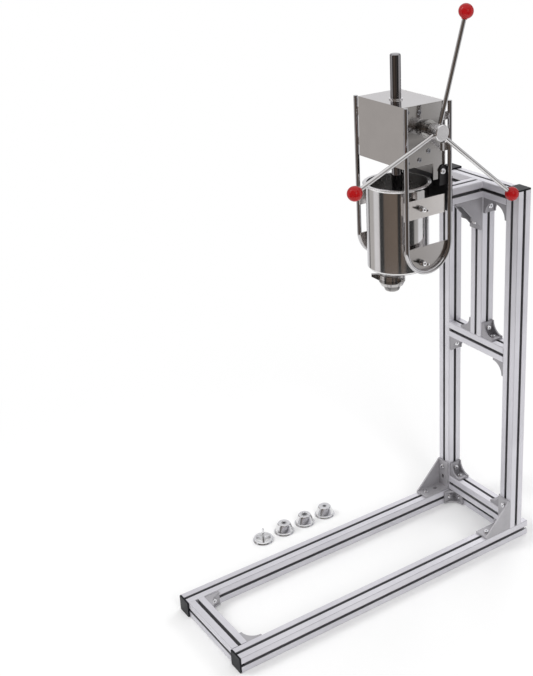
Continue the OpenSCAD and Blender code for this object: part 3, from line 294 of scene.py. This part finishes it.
# How far the die lines of a profile are drawn out along its length
LONG = 60.0
PROFILE_HALF = 20 * MM
MATERIALS = {
    "cap_plastic": lambda: moulded("cap_plastic", (0.008, 0.008, 0.011), 0.40, 0.00004, 2400.0, shine=0.15),
    "cast_bracket": lambda: metal(
        "cast_bracket", (0.43, 0.42, 0.44), 0.42, 0.05, grain=1500.0, height=0.00008, metallic=0.45),
    "upper_bracket": lambda: metal(
        "upper_bracket", (0.35, 0.34, 0.36), 0.42, 0.05, grain=1500.0, height=0.00008, metallic=0.45),
    "zinc_steel": lambda: metal("zinc_steel", (0.80, 0.80, 0.82), 0.20, 0.06),
    "black_plate": lambda: moulded("black_plate", (0.012, 0.011, 0.012), 0.34, 0.00005, 1800.0, shine=0.35),
    "rod_steel": lambda: metal("rod_steel", (0.56, 0.55, 0.56), 0.08, 0.03, (1, 1, 8)),
    "rack_steel": lambda: metal("rack_steel", (0.31, 0.30, 0.31), 0.07, 0.03, (1, 1, 8)),
    "boss_chrome": lambda: metal("boss_chrome", (0.60, 0.59, 0.58), 0.11, 0.03),
    "spoke_chrome": lambda: metal("spoke_chrome", (0.66, 0.65, 0.65), 0.14, 0.03),
    "sheet_steel": lambda: metal("sheet_steel", (0.90, 0.88, 0.87), 0.26, 0.02, (1, 30, 1), uneven=0.04),
    # Painted reflection: dark and light stripes up the gearbox sides
    "side_steel": lambda: metal(
        "side_steel", (0.66, 0.64, 0.63), 0.13, 0.02, (1, 30, 1), uneven=0.05, painted_reflection_bands=(
            reach(2, "gearbox_side_right"), (0.0, 0.80), (0.40, 0.78), (0.52, 0.56), (0.58, 0.64), (0.67, 0.40),
            (0.74, 0.46), (0.82, 0.74), (1.0, 0.80))),
    # Painted reflection: the clamp plates are darker towards the bottom
    "plate_steel": lambda: metal(
        "plate_steel", (0.95, 0.91, 0.89), 0.20, 0.02, (1, 30, 1), uneven=0.05, painted_reflection_bands=(
            reach(2, "side_plates"), (0.0, 0.58), (0.5, 0.66), (0.6, 0.94))),
    "panel_steel": lambda: metal("panel_steel", (0.80, 0.78, 0.77), 0.46, 0.04, (30, 1, 1), uneven=0.06),
    "housing_steel": lambda: metal("housing_steel", (0.63, 0.61, 0.60), 0.12, 0.02, (1, 1, 30), uneven=0.04),
    "machined_steel": lambda: metal("machined_steel", (0.84, 0.83, 0.84), 0.26, 0.06),
    "screw_steel": lambda: metal("screw_steel", (0.34, 0.34, 0.36), 0.24, 0.06),
    "bronze": lambda: metal("bronze", (0.62, 0.44, 0.24), 0.30, 0.06),
    "barrel_steel": lambda: barrel_metal("barrel_steel", (0.76, 0.75, 0.75), 0.10),
    # Painted reflection: dark wings and a bright dome on each wing bolt
    "wing_steel": lambda: metal(
        "wing_steel", (0.88, 0.87, 0.88), 0.12, 0.04, painted_reflection_bands=(
            reach(0, "wing_bolt_upper_right"), (0.0, 0.9), (0.40, 0.9), (0.45, 0.16), (0.74, 0.20), (0.80, 1.0))),
    "nozzle_steel": lambda: metal("nozzle_steel", (0.78, 0.78, 0.79), 0.13, 0.05),
    # Painted reflection: dark and light stripes up the fitted nozzle and its nut
    "fitted_nozzle": lambda: metal(
        "fitted_nozzle", (0.66, 0.64, 0.63), 0.08, 0.03, painted_reflection_bands=(
            reach(2, "star_nozzle_fitted", "nozzle_nut"), (0.0, 0.55), (0.10, 0.50), (0.16, 0.34), (0.34, 0.34),
            (0.40, 0.85), (0.50, 0.80), (0.58, 0.60), (0.74, 0.56), (0.80, 1.0), (0.88, 0.80), (1.0, 1.0))),
    "ball_plastic": lambda: moulded(
        "ball_plastic", (0.39, 0.006, 0.008), 0.17, 0.000004, 900.0, shine=0.30, uneven=0.04),
    "plunger_plastic": lambda: moulded("plunger_plastic", (0.78, 0.78, 0.75), 0.42, 0.00003, 1500.0),
    "seal_rubber": lambda: moulded("seal_rubber", (0.70, 0.68, 0.64), 0.55, 0.00004, 1800.0),
}
# Pieces whose finish differs from that of the others in their slot
OWN_FINISH = {
    "crank_spokes": "spoke_chrome", "bearing_housings": "boss_chrome",
    "star_nozzle_fitted": "fitted_nozzle", "nozzle_nut": "fitted_nozzle",
    "gearbox_side_left": "side_steel", "gearbox_side_right": "side_steel", "side_plates": "plate_steel",
    "gearbox_rear_panel": "panel_steel", "rack_rod": "rack_steel", "post_corner_brackets": "upper_bracket",
    "arm_front_bracket": "upper_bracket", "arm_gusset": "upper_bracket",
}
PROFILES = {
    "base_rail_left": 1, "base_rail_right": 1, "support_arm": 1,
    "post_left": 2, "post_right": 2, "centre_upright": 2,
    "base_cross_front": 0, "base_cross_rear": 0, "post_cross_lower": 0,
    "post_cross_middle": 0, "post_cross_top": 0,
}
SLOT_OF = {part["node"]: part["material_slot"] for part in frame["record"]["subparts"]}
BODY_OF = {node: body for body, nodes in frame["record"]["behaviour"]["bodies"].items() for node in nodes}
made = {}


def material(name):
    if name not in made:
        made[name] = MATERIALS[name]()
    return made[name]


def frame_joint(name):
    """The place of a joint."""
    return next(Vector(joint["pos_m"]) for joint in frame["joints"] if joint["name"] == name)


def give(obj, mat):
    """Puts one material in all of an object's slots."""
    if not obj.material_slots:
        obj.data.materials.append(mat)
    for each in obj.material_slots:
        each.material = mat


# Modelling


def select_only(*objects):
    bpy.ops.object.select_all(action="DESELECT")
    for each in objects:
        each.select_set(True)
    bpy.context.view_layer.objects.active = objects[0]


def edit(piece):
    select_only(piece)
    bpy.ops.object.mode_set(mode="EDIT")
    bpy.ops.mesh.select_all(action="SELECT")


def done():
    bpy.ops.object.mode_set(mode="OBJECT")


def worked_copy(node):
    """A merged copy of a rigid piece, with its flat faces made whole."""
    select_only(frame["nodes"][node])
    bpy.ops.object.duplicate()
    piece = bpy.context.object
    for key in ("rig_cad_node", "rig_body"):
        del piece[key]
    bpy.ops.object.parent_clear(type="CLEAR_KEEP_TRANSFORM")
    piece.name = piece.data.name = node + "_worked"
    bpy.ops.mesh.customdata_custom_splitnormals_clear()
    edit(piece)
    bpy.ops.mesh.remove_doubles(threshold=SAME_PLACE)
    bpy.ops.mesh.dissolve_limited(angle_limit=math.radians(0.4))
    done()
    return piece


def apply_modifier(piece, kind, **values):
    select_only(piece)
    bpy.ops.object.modifier_add(type=kind)
    modifier = piece.modifiers[-1]
    for key, value in values.items():
        setattr(modifier, key, value)
    bpy.ops.object.modifier_apply(modifier=modifier.name)


def round_edges(piece, width, segments=2, angle=30, miter="MITER_ARC"):
    apply_modifier(
        piece, "BEVEL", width=width, segments=segments, limit_method="ANGLE",
        angle_limit=math.radians(angle), miter_outer=miter)


def smooth(piece, angle=38):
    """Smooth shading that keeps flat faces flat."""
    select_only(piece)
    bpy.ops.object.shade_smooth_by_angle(angle=math.radians(angle))
    apply_modifier(piece, "WEIGHTED_NORMAL", keep_sharp=True)


def settle(piece, node):
    """The piece takes the node's place: its body, its finish and its slot."""
    give(piece, material(OWN_FINISH.get(node, SLOT_OF[node])))
    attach(piece, BODY_OF[node])
    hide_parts(node)


def dress(node, edge, segments=2, angle=30, miter="MITER_ARC"):
    piece = worked_copy(node)
    round_edges(piece, edge, segments, angle, miter)
    smooth(piece)
    settle(piece, node)
    return piece


def join(*pieces):
    select_only(*pieces)
    bpy.ops.object.join()
    return bpy.context.object


def put(piece, place):
    """Moves a piece that was modelled at the origin to its place, in its mesh."""
    piece.matrix_world = place
    select_only(piece)
    bpy.ops.object.transform_apply(location=True, rotation=True, scale=True)


# Settings


def size_property(name, description, default):
    return bpy.props.FloatProperty(name=name, description=description, default=default, min=0, unit="LENGTH")


class ChurroEdgeSettings(bpy.types.PropertyGroup):
    """Widths of the worked edges."""

    casting: size_property("Castings", "Rounding on the cast brackets", 0.9 * MM)
    web_lip: size_property("Web lip", "What the hollow in a small bracket's webs leaves of its legs", 6.5 * MM)
    sheet: size_property("Sheets", "Rounding on plates and folded sheet", 0.35 * MM)
    turned: size_property("Turned pieces", "Rounding on hubs, nozzles and nuts", 0.45 * MM)
    screws: size_property("Screws", "Rounding on screw heads", 0.25 * MM)
    moulded: size_property("Plastic caps", "Rounding on the end caps", 1.2 * MM)
    rack: size_property("Rack teeth", "Rounding on the rack's teeth", 0.12 * MM)


class ChurroKnobSettings(bpy.types.PropertyGroup):
    """Sizes of the ball knobs and the wing bolts."""

    ball_radius: size_property("Ball radius", "Radius of a ball knob", 16 * MM)
    ball_flat: size_property("Flat", "Depth of the flat where the spoke enters", 1.4 * MM)
    collar_radius: size_property("Collar radius", "Radius of the collar round the spoke", 6.4 * MM)
    collar_length: size_property("Collar length", "Length of the collar round the spoke", 1.6 * MM)
    collar_wall: size_property("Collar wall", "Width of the collar's face", 0.7 * MM)
    knob_round: size_property("Knob rounding", "Rounding on a knob's flat and collar", 0.3 * MM)
    dome_radius: size_property("Wing bolt dome", "Radius of the dome on a wing bolt", 6 * MM)
    dome_out: size_property("Dome place", "Distance from a wing bolt's joint to its dome", 10.5 * MM)
    wing_round: size_property("Wing rounding", "Rounding on the wings of a wing bolt", 1.1 * MM)


class ChurroStudioSettings(bpy.types.PropertyGroup):
    """Sizes and colours of the studio."""

    floor_colour: bpy.props.FloatVectorProperty(
        name="Floor colour", description="Colour of the plain floor", subtype="COLOR",
        default=(0.92, 0.92, 0.92), min=0, max=1)
    floor_lift: bpy.props.FloatProperty(
        name="Floor lift", description="Glow that the camera sees on the floor", default=0.07, min=0, max=1)
    floor_size: size_property("Floor size", "Edge length of the floor", 40.0)
    white_from: size_property("White from", "Distance at which the floor starts to turn white", 0.55)
    white_to: size_property("White to", "Distance at which the floor is white", 1.5)
    light_level: bpy.props.FloatProperty(
        name="Light level", description="Factor on the power of all lamps", default=1.0)


# Operators


class CHURRO_OT_profiles(bpy.types.Operator):
    """Finish the aluminium profiles and the pieces inside the machine"""

    bl_idname = "churro.profiles"
    bl_label = "Profiles"

    def execute(self, context):
        for name, obj in frame["nodes"].items():
            if name in PROFILES:
                give(obj, anodised(name, middle_of(name), PROFILES[name]))
            else:
                give(obj, material(SLOT_OF[name]))
        return {"FINISHED"}


class Dressing:
    """Shared by the operators that give pieces worked edges."""

    pieces = ()
    edge = "turned"
    segments = 2
    angle = 30
    miter = "MITER_ARC"

    def execute(self, context):
        width = getattr(context.scene.churro_edges, self.edge)
        for node in self.pieces:
            dress(node, width, self.segments, self.angle, self.miter)
        return {"FINISHED"}


class CHURRO_OT_brackets(Dressing, bpy.types.Operator):
    """Dress the cast corner brackets and gussets, and hollow out the webs of the small ones"""

    bl_idname = "churro.brackets"
    bl_label = "Brackets"
    small = ("base_corner_brackets", "post_corner_brackets", "arm_front_bracket")
    pieces = ("foot_gussets", "arm_gusset")
    edge = "casting"

    def execute(self, context):
        settings = context.scene.churro_edges
        for node in self.small:
            brackets = worked_copy(node)
            for island in islands(brackets):
                self.hollow_web(brackets, island, settings.web_lip)
            round_edges(brackets, settings.casting)
            smooth(brackets)
            settle(brackets, node)
        return super().execute(context)

    def hollow_web(self, brackets, island, lip):
        """Cuts a round hollow out of a bracket's webs, about its open corner."""
        low, high = extent(island)
        size = high - low
        across = min(range(3), key=lambda i: size[i])
        middle = sum(island, Vector()) / len(island)
        corner = Vector([
            (low[i] + high[i]) / 2 if i == across
            else high[i] if high[i] - middle[i] > middle[i] - low[i] else low[i] for i in range(3)])
        radius = max(size) - lip
        axis = Vector([float(i == across) for i in range(3)])
        bpy.ops.object.select_all(action="DESELECT")
        bpy.ops.mesh.primitive_cylinder_add(vertices=96, radius=radius, depth=2 * max(size))
        cutter = bpy.context.object
        put(cutter, Matrix.Translation(corner) @ axis.to_track_quat("Z", "Y").to_matrix().to_4x4())
        apply_modifier(brackets, "BOOLEAN", operation="DIFFERENCE", object=cutter, solver="EXACT")
        bpy.data.objects.remove(cutter)


class CHURRO_OT_screws(Dressing, bpy.types.Operator):
    """Dress the screws"""

    bl_idname = "churro.screws"
    bl_label = "Screws"
    pieces = ("bracket_screws", "mount_screws", "housing_screws")
    edge = "screws"


class CHURRO_OT_end_caps(Dressing, bpy.types.Operator):
    """Dress the plastic end caps"""

    bl_idname = "churro.end_caps"
    bl_label = "End caps"
    pieces = ("end_caps",)
    edge = "moulded"
    segments = 3
    # An arc runs to a spike at the caps' small corner radius
    miter = "MITER_SHARP"


class CHURRO_OT_plates(Dressing, bpy.types.Operator):
    """Dress the mounting plate, the clamp plates and their spacers"""

    bl_idname = "churro.plates"
    bl_label = "Plates"
    pieces = ("mount_plate", "side_plates", "frame_spacers")
    edge = "sheet"


class CHURRO_OT_gearbox(Dressing, bpy.types.Operator):
    """Dress the gearbox panels"""

    bl_idname = "churro.gearbox"
    bl_label = "Gearbox"
    pieces = ("gearbox_cover", "gearbox_side_left", "gearbox_side_right", "gearbox_rear_panel", "gearbox_floor")
    edge = "sheet"


class CHURRO_OT_turned(Dressing, bpy.types.Operator):
    """Dress the bearings, the guide bush, the crank hub and the plunger"""

    bl_idname = "churro.turned"
    bl_label = "Turned pieces"
    pieces = ("bearing_housings", "rod_bush", "guide_bars", "crank_shaft", "crank_hub", "plunger_disc", "plunger_nut")
    edge = "turned"


class CHURRO_OT_rods(Dressing, bpy.types.Operator):
    """Dress the bent rods, the spokes and the rack rod"""

    bl_idname = "churro.rods"
    bl_label = "Rods"
    pieces = ("side_frame_left", "side_frame_right", "crank_spokes", "rack_rod")
    edge = "rack"


class CHURRO_OT_barrel(Dressing, bpy.types.Operator):
    """Dress the barrel"""

    bl_idname = "churro.barrel"
    bl_label = "Barrel"
    pieces = ("barrel",)
    edge = "turned"


class CHURRO_OT_nozzles(Dressing, bpy.types.Operator):
    """Dress the nozzles, the hollow core and the nozzle nut"""

    bl_idname = "churro.nozzles"
    bl_label = "Nozzles"
    pieces = (
        "nozzle_nut", "star_nozzle_fitted", "star_nozzle_fine", "star_nozzle_large", "star_nozzle_small",
        "hollow_nozzle_core")
    edge = "turned"
    segments = 3
    angle = 14


class CHURRO_OT_ball_knobs(bpy.types.Operator):
    """Model the red ball knobs with their collars"""

    bl_idname = "churro.ball_knobs"
    bl_label = "Ball knobs"

    def execute(self, context):
        settings = context.scene.churro_knobs
        model = self.knob(settings)
        knobs = []
        for centre, outward in knob_places():
            select_only(model)
            bpy.ops.object.duplicate()
            knob = bpy.context.object
            turn = outward.to_track_quat("Z", "Y").to_matrix().to_4x4()
            put(knob, Matrix.Translation(centre) @ turn)
            knobs.append(knob)
        bpy.data.objects.remove(model)
        knobs = join(*knobs)
        knobs.name = knobs.data.name = "ball_knobs_worked"
        smooth(knobs)
        settle(knobs, "ball_knobs")
        return {"FINISHED"}

    def knob(self, settings):
        """One knob at the origin, with the spoke coming up from below."""
        radius = settings.ball_radius
        bottom = settings.ball_flat - radius
        just_above = bottom + 0.01 * MM
        thinnest = 0.1 * MM
        bpy.ops.object.select_all(action="DESELECT")
        bpy.ops.mesh.primitive_uv_sphere_add(segments=64, ring_count=32, radius=radius)
        knob = bpy.context.object
        edit(knob)
        bpy.ops.mesh.bisect(
            plane_co=(0, 0, bottom), plane_no=(0, 0, 1), use_fill=True, clear_inner=True)
        bpy.ops.mesh.select_mode(type="FACE")
        done()
        select_faces(knob, lambda face: face.center.z < just_above)
        bpy.ops.object.mode_set(mode="EDIT")
        flat = math.sqrt(radius**2 - bottom**2)
        bpy.ops.mesh.inset(thickness=max(flat - settings.collar_radius, thinnest))
        bpy.ops.mesh.extrude_region_move(
            TRANSFORM_OT_translate={"value": (0, 0, -settings.collar_length)})
        bpy.ops.mesh.inset(thickness=settings.collar_wall)
        done()
        round_edges(knob, settings.knob_round, angle=25)
        edit(knob)
        bpy.ops.mesh.remove_doubles(threshold=SAME_PLACE)
        done()
        return knob


def islands(piece):
    """The points of each loose part of a mesh."""
    group = list(range(len(piece.data.vertices)))

    def root(index):
        while group[index] != index:
            group[index] = group[group[index]]
            index = group[index]
        return index

    for edge in piece.data.edges:
        group[root(edge.vertices[0])] = root(edge.vertices[1])
    found = {}
    for vertex in piece.data.vertices:
        found.setdefault(root(vertex.index), []).append(vertex.co.copy())
    return list(found.values())


def select_faces(piece, test):
    """Selects exactly the faces that pass the test."""
    for part in (*piece.data.vertices, *piece.data.edges, *piece.data.polygons):
        part.select = False
    for face in piece.data.polygons:
        face.select = test(face)


def knob_places():
    """Centre and outward direction of each ball, found from the points of the three solids."""
    hub = Vector((middle_of("crank_hub").x, *frame_joint("crank_turn")[1:]))
    one_ball = 40 * MM
    groups = []
    for vertex in frame["nodes"]["ball_knobs"].data.vertices:
        for group in groups:
            if (group[0] - vertex.co).length < one_ball:
                group.append(vertex.co.copy())
                break
        else:
            groups.append([vertex.co.copy()])
    for group in groups:
        low, high = extent(group)
        centre = (low + high) / 2
        yield centre, (centre - hub).normalized()


class CHURRO_OT_wing_bolts(bpy.types.Operator):
    """Dress the wing bolts and give them their domes"""

    bl_idname = "churro.wing_bolts"
    bl_label = "Wing bolts"

    def execute(self, context):
        settings = context.scene.churro_knobs
        for side in ("left", "right"):
            for level in ("upper", "lower"):
                self.bolt(f"wing_bolt_{level}_{side}", settings)
        return {"FINISHED"}

    def bolt(self, node, settings):
        bolt = worked_copy(node)
        round_edges(bolt, settings.wing_round, 3, 50)
        place = frame_joint(node + "_turn")
        outward = math.copysign(1, place.x)
        bpy.ops.object.select_all(action="DESELECT")
        bpy.ops.mesh.primitive_uv_sphere_add(segments=32, ring_count=16, radius=settings.dome_radius)
        dome = bpy.context.object
        edit(dome)
        bpy.ops.mesh.bisect(plane_co=(0, 0, 0), plane_no=(0, 0, 1), use_fill=True, clear_inner=True)
        done()
        turn = Vector((outward, 0, 0)).to_track_quat("Z", "Y").to_matrix().to_4x4()
        put(dome, Matrix.Translation(place + Vector((outward * settings.dome_out, 0, 0))) @ turn)
        bolt = join(bolt, dome)
        smooth(bolt)
        settle(bolt, node)


CAMERA_PLACE = (1.8935, -1.3269, 1.6844)
CAMERA_AZIMUTH = 54.77
CAMERA_ELEVATION = 21.27
CAMERA_ROLL = -1.72
CAMERA_LENS = 59.464
CAMERA_SHIFT = (-0.1333, -0.0945)

# The reflector ring stands on the floor round the barrel's axis
RING_RADIUS = 1.7
RING_HEIGHT = 2.8
RING_PLACE = (0, 0.128, RING_HEIGHT / 2)
WORLD_LIGHT = 0.62


def camera_axes():
    """The camera's right, up and backward directions."""
    az, el, roll = (math.radians(a) for a in (CAMERA_AZIMUTH, CAMERA_ELEVATION, CAMERA_ROLL))
    back = Vector((math.sin(az) * math.cos(el), -math.cos(az) * math.cos(el), math.sin(el)))
    right = (-back).cross(Vector((0, 0, 1))).normalized()
    up = right.cross(-back)
    return (
        math.cos(roll) * right + math.sin(roll) * up,
        -math.sin(roll) * right + math.cos(roll) * up,
        back,
    )


def area_light(name, place, target, size, power, colour=(1, 1, 1)):
    bpy.ops.object.light_add(type="AREA", location=place)
    lamp = bpy.context.object
    lamp.name = name
    lamp.rotation_euler = (Vector(target) - Vector(place)).to_track_quat("-Z", "Y").to_euler()
    lamp.data.shape = "RECTANGLE"
    lamp.data.size, lamp.data.size_y = size
    lamp.data.energy = power
    lamp.data.color = colour


class CHURRO_OT_stage(bpy.types.Operator):
    """Set up the floor, the lamps, the world and the camera"""

    bl_idname = "churro.stage"
    bl_label = "Studio"

    def execute(self, context):
        settings = context.scene.churro_studio
        self.add_floor(settings)
        self.add_reflector()
        self.add_lamps(settings)
        self.add_world()
        self.add_camera(context)
        context.scene.view_settings.view_transform = "Standard"
        return {"FINISHED"}

    def add_floor(self, settings):
        bpy.ops.mesh.primitive_plane_add(size=settings.floor_size)
        floor = bpy.context.object
        floor.name = "floor"
        floor.data.materials.append(white_floor(settings))

    def add_reflector(self):
        """A ring of cards that only gloss can see: it gives polished metal its streaks."""
        bpy.ops.object.select_all(action="DESELECT")
        bpy.ops.mesh.primitive_cylinder_add(
            vertices=96, radius=RING_RADIUS, depth=RING_HEIGHT, end_fill_type="NOTHING", location=RING_PLACE)
        ring = bpy.context.object
        ring.name = "reflector_ring"
        ring.data.materials.append(reflector_cards())
        ring.visible_camera = ring.visible_diffuse = ring.visible_shadow = False
        ring.visible_transmission = False

    def add_lamps(self, settings):
        level = settings.light_level
        area_light("key", (-1.6, -2.6, 3.4), (0, 0, 0.7), (1.6, 1.6), 55 * level)
        area_light("side", (3.2, -0.4, 2.4), (0, 0, 0.7), (1.2, 2.2), 40 * level)
        area_light("rear", (-1.2, 2.8, 2.6), (0, 0, 0.9), (1.8, 1.2), 26 * level)

    def add_world(self):
        world = bpy.data.worlds.new("studio")
        bpy.context.scene.world = world
        world.use_nodes = True
        tree = world.node_tree
        plain = tree.nodes["Background"]
        plain.inputs["Color"].default_value = (1, 1, 1, 1)
        plain.inputs["Strength"].default_value = WORLD_LIGHT
        white = node_of(tree, "Background", Strength=1.0)
        white.inputs["Color"].default_value = (1, 1, 1, 1)
        mix = node_of(tree, "MixShader")
        tree.links.new(seen_or_mirrored(tree), mix.inputs[0])
        tree.links.new(plain.outputs[0], mix.inputs[1])
        tree.links.new(white.outputs[0], mix.inputs[2])
        tree.links.new(mix.outputs[0], tree.nodes["World Output"].inputs["Surface"])

    def add_camera(self, context):
        right, up, back = camera_axes()
        bpy.ops.object.camera_add()
        camera = context.object
        camera.name = "camera"
        turn = Matrix((right, up, back)).transposed().to_4x4()
        camera.matrix_world = Matrix.Translation(CAMERA_PLACE) @ turn
        camera.data.lens = CAMERA_LENS
        camera.data.shift_x, camera.data.shift_y = CAMERA_SHIFT
        camera.data.clip_start, camera.data.clip_end = 0.05, 60
        context.scene.camera = camera


# Brightness of the reflector cards by bearing in degrees: 0 is the front, 90 the crank side
CARDS = (
    (-180, (0.05, 0.05, 0.05)), (-177, (0.05, 0.05, 0.05)), (-170, (0.82, 0.82, 0.84)),
    (-100, (0.80, 0.80, 0.82)), (-80, (0.60, 0.59, 0.60)), (-76, (0.06, 0.06, 0.06)), (-72, (0.06, 0.06, 0.06)),
    (-70, (0.50, 0.48, 0.465)), (-46, (0.50, 0.48, 0.465)), (-40, (0.77, 0.76, 0.77)), (-19, (0.74, 0.72, 0.72)),
    (-15, (0.04, 0.04, 0.04)), (-1, (0.05, 0.05, 0.05)), (4, (0.15, 0.12, 0.10)), (50, (0.17, 0.135, 0.11)),
    (54, (0.03, 0.03, 0.03)), (61, (0.03, 0.03, 0.03)), (65, (0.15, 0.12, 0.10)), (77, (0.14, 0.12, 0.11)),
    (84, (0.03, 0.03, 0.03)), (110, (0.05, 0.05, 0.05)), (116, (0.42, 0.41, 0.40)), (128, (0.42, 0.41, 0.40)),
    (133, (0.85, 0.85, 0.87)), (165, (0.85, 0.85, 0.87)), (171, (0.05, 0.05, 0.05)), (180, (0.05, 0.05, 0.05)),
)


def reflector_cards():
    mat = bpy.data.materials.new("reflector_cards")
    mat.use_nodes = True
    tree = mat.node_tree
    tree.nodes.remove(tree.nodes["Principled BSDF"])
    place = node_of(tree, "SeparateXYZ")
    tree.links.new(node_of(tree, "TexCoord").outputs["Object"], place.inputs[0])
    forward = node_of(tree, "Math", operation="MULTIPLY")
    forward.inputs[1].default_value = -1
    tree.links.new(place.outputs["Y"], forward.inputs[0])
    bearing = node_of(tree, "Math", operation="ARCTAN2")
    tree.links.new(place.outputs["X"], bearing.inputs[0])
    tree.links.new(forward.outputs[0], bearing.inputs[1])
    share = node_of(tree, "MapRange")
    share.inputs["From Min"].default_value = -math.pi
    share.inputs["From Max"].default_value = math.pi
    tree.links.new(bearing.outputs[0], share.inputs["Value"])
    ramp = node_of(tree, "ValToRGB")
    fill_ramp(ramp, [((degrees + 180) / 360, colour) for degrees, colour in CARDS])
    tree.links.new(share.outputs[0], ramp.inputs[0])
    glow = node_of(tree, "Emission")
    tree.links.new(ramp.outputs[0], glow.inputs["Color"])
    tree.links.new(glow.outputs[0], tree.nodes["Material Output"].inputs["Surface"])
    return mat


def seen_or_mirrored(tree):
    """1 for what the camera sees, straight or in metal and glass, and 0 for light."""
    path = node_of(tree, "LightPath")
    seen = path.outputs["Is Camera Ray"]
    for other in ("Is Glossy Ray", "Is Transmission Ray"):
        either = node_of(tree, "Math", operation="MAXIMUM")
        tree.links.new(seen, either.inputs[0])
        tree.links.new(path.outputs[other], either.inputs[1])
        seen = either.outputs[0]
    return seen


def white_floor(settings):
    """A pale floor that keeps the object's shadow and turns white further out."""
    mat = bpy.data.materials.new("floor")
    mat.use_nodes = True
    tree = mat.node_tree
    shader = tree.nodes["Principled BSDF"]
    shader.inputs["Base Color"].default_value = (*settings.floor_colour, 1)
    shader.inputs["Roughness"].default_value = 0.7
    shader.inputs["Specular IOR Level"].default_value = 0.2
    seen = seen_or_mirrored(tree)
    distance = node_of(tree, "VectorMath", operation="LENGTH")
    tree.links.new(node_of(tree, "TexCoord").outputs["Object"], distance.inputs[0])
    far = node_of(tree, "MapRange", interpolation_type="SMOOTHSTEP")
    far.inputs["From Min"].default_value = settings.white_from
    far.inputs["From Max"].default_value = settings.white_to
    tree.links.new(distance.outputs["Value"], far.inputs["Value"])
    share = node_of(tree, "Math", operation="MULTIPLY")
    tree.links.new(far.outputs[0], share.inputs[0])
    tree.links.new(seen, share.inputs[1])
    lift = node_of(tree, "Math", operation="MULTIPLY")
    lift.inputs[1].default_value = settings.floor_lift
    tree.links.new(seen, lift.inputs[0])
    glow = node_of(tree, "Emission")
    tree.links.new(lift.outputs[0], glow.inputs["Strength"])
    near = node_of(tree, "AddShader")
    tree.links.new(shader.outputs[0], near.inputs[0])
    tree.links.new(glow.outputs[0], near.inputs[1])
    white = node_of(tree, "Emission", Strength=1.0)
    mix = node_of(tree, "MixShader")
    tree.links.new(share.outputs[0], mix.inputs[0])
    tree.links.new(near.outputs[0], mix.inputs[1])
    tree.links.new(white.outputs[0], mix.inputs[2])
    tree.links.new(mix.outputs[0], tree.nodes["Material Output"].inputs["Surface"])
    return mat


class CHURRO_PT_panel(bpy.types.Panel):
    """Lists the churro maker's operators"""

    bl_idname = "CHURRO_PT_panel"
    bl_label = "Churro maker"
    bl_space_type = "VIEW_3D"
    bl_region_type = "UI"
    bl_category = "Churro maker"

    def draw(self, context):
        column = self.layout.column()
        for name, group in GROUPS.items():
            for prop in group.__annotations__:
                column.prop(getattr(context.scene, name), prop)
        for operator in OPERATORS:
            column.operator(operator.bl_idname)


OPERATORS = (
    CHURRO_OT_profiles, CHURRO_OT_brackets, CHURRO_OT_screws, CHURRO_OT_end_caps, CHURRO_OT_plates,
    CHURRO_OT_gearbox, CHURRO_OT_turned, CHURRO_OT_rods, CHURRO_OT_barrel, CHURRO_OT_nozzles,
    CHURRO_OT_ball_knobs, CHURRO_OT_wing_bolts, CHURRO_OT_stage,
)
GROUPS = {
    "churro_edges": ChurroEdgeSettings, "churro_knobs": ChurroKnobSettings, "churro_studio": ChurroStudioSettings,
}


def register():
    for cls in (*GROUPS.values(), *OPERATORS, CHURRO_PT_panel):
        bpy.utils.register_class(cls)
    for name, group in GROUPS.items():
        setattr(bpy.types.Scene, name, bpy.props.PointerProperty(type=group))


def unregister():
    for name in GROUPS:
        delattr(bpy.types.Scene, name)
    for cls in (CHURRO_PT_panel, *reversed(OPERATORS), *GROUPS.values()):
        bpy.utils.unregister_class(cls)


def main():
    register()
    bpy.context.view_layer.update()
    for step in (
        bpy.ops.churro.profiles, bpy.ops.churro.brackets, bpy.ops.churro.screws, bpy.ops.churro.end_caps,
        bpy.ops.churro.plates, bpy.ops.churro.gearbox, bpy.ops.churro.turned, bpy.ops.churro.rods,
        bpy.ops.churro.barrel, bpy.ops.churro.nozzles, bpy.ops.churro.ball_knobs, bpy.ops.churro.wing_bolts,
        bpy.ops.churro.stage,
    ):
        step()


if __name__ == "__main__":
    main()
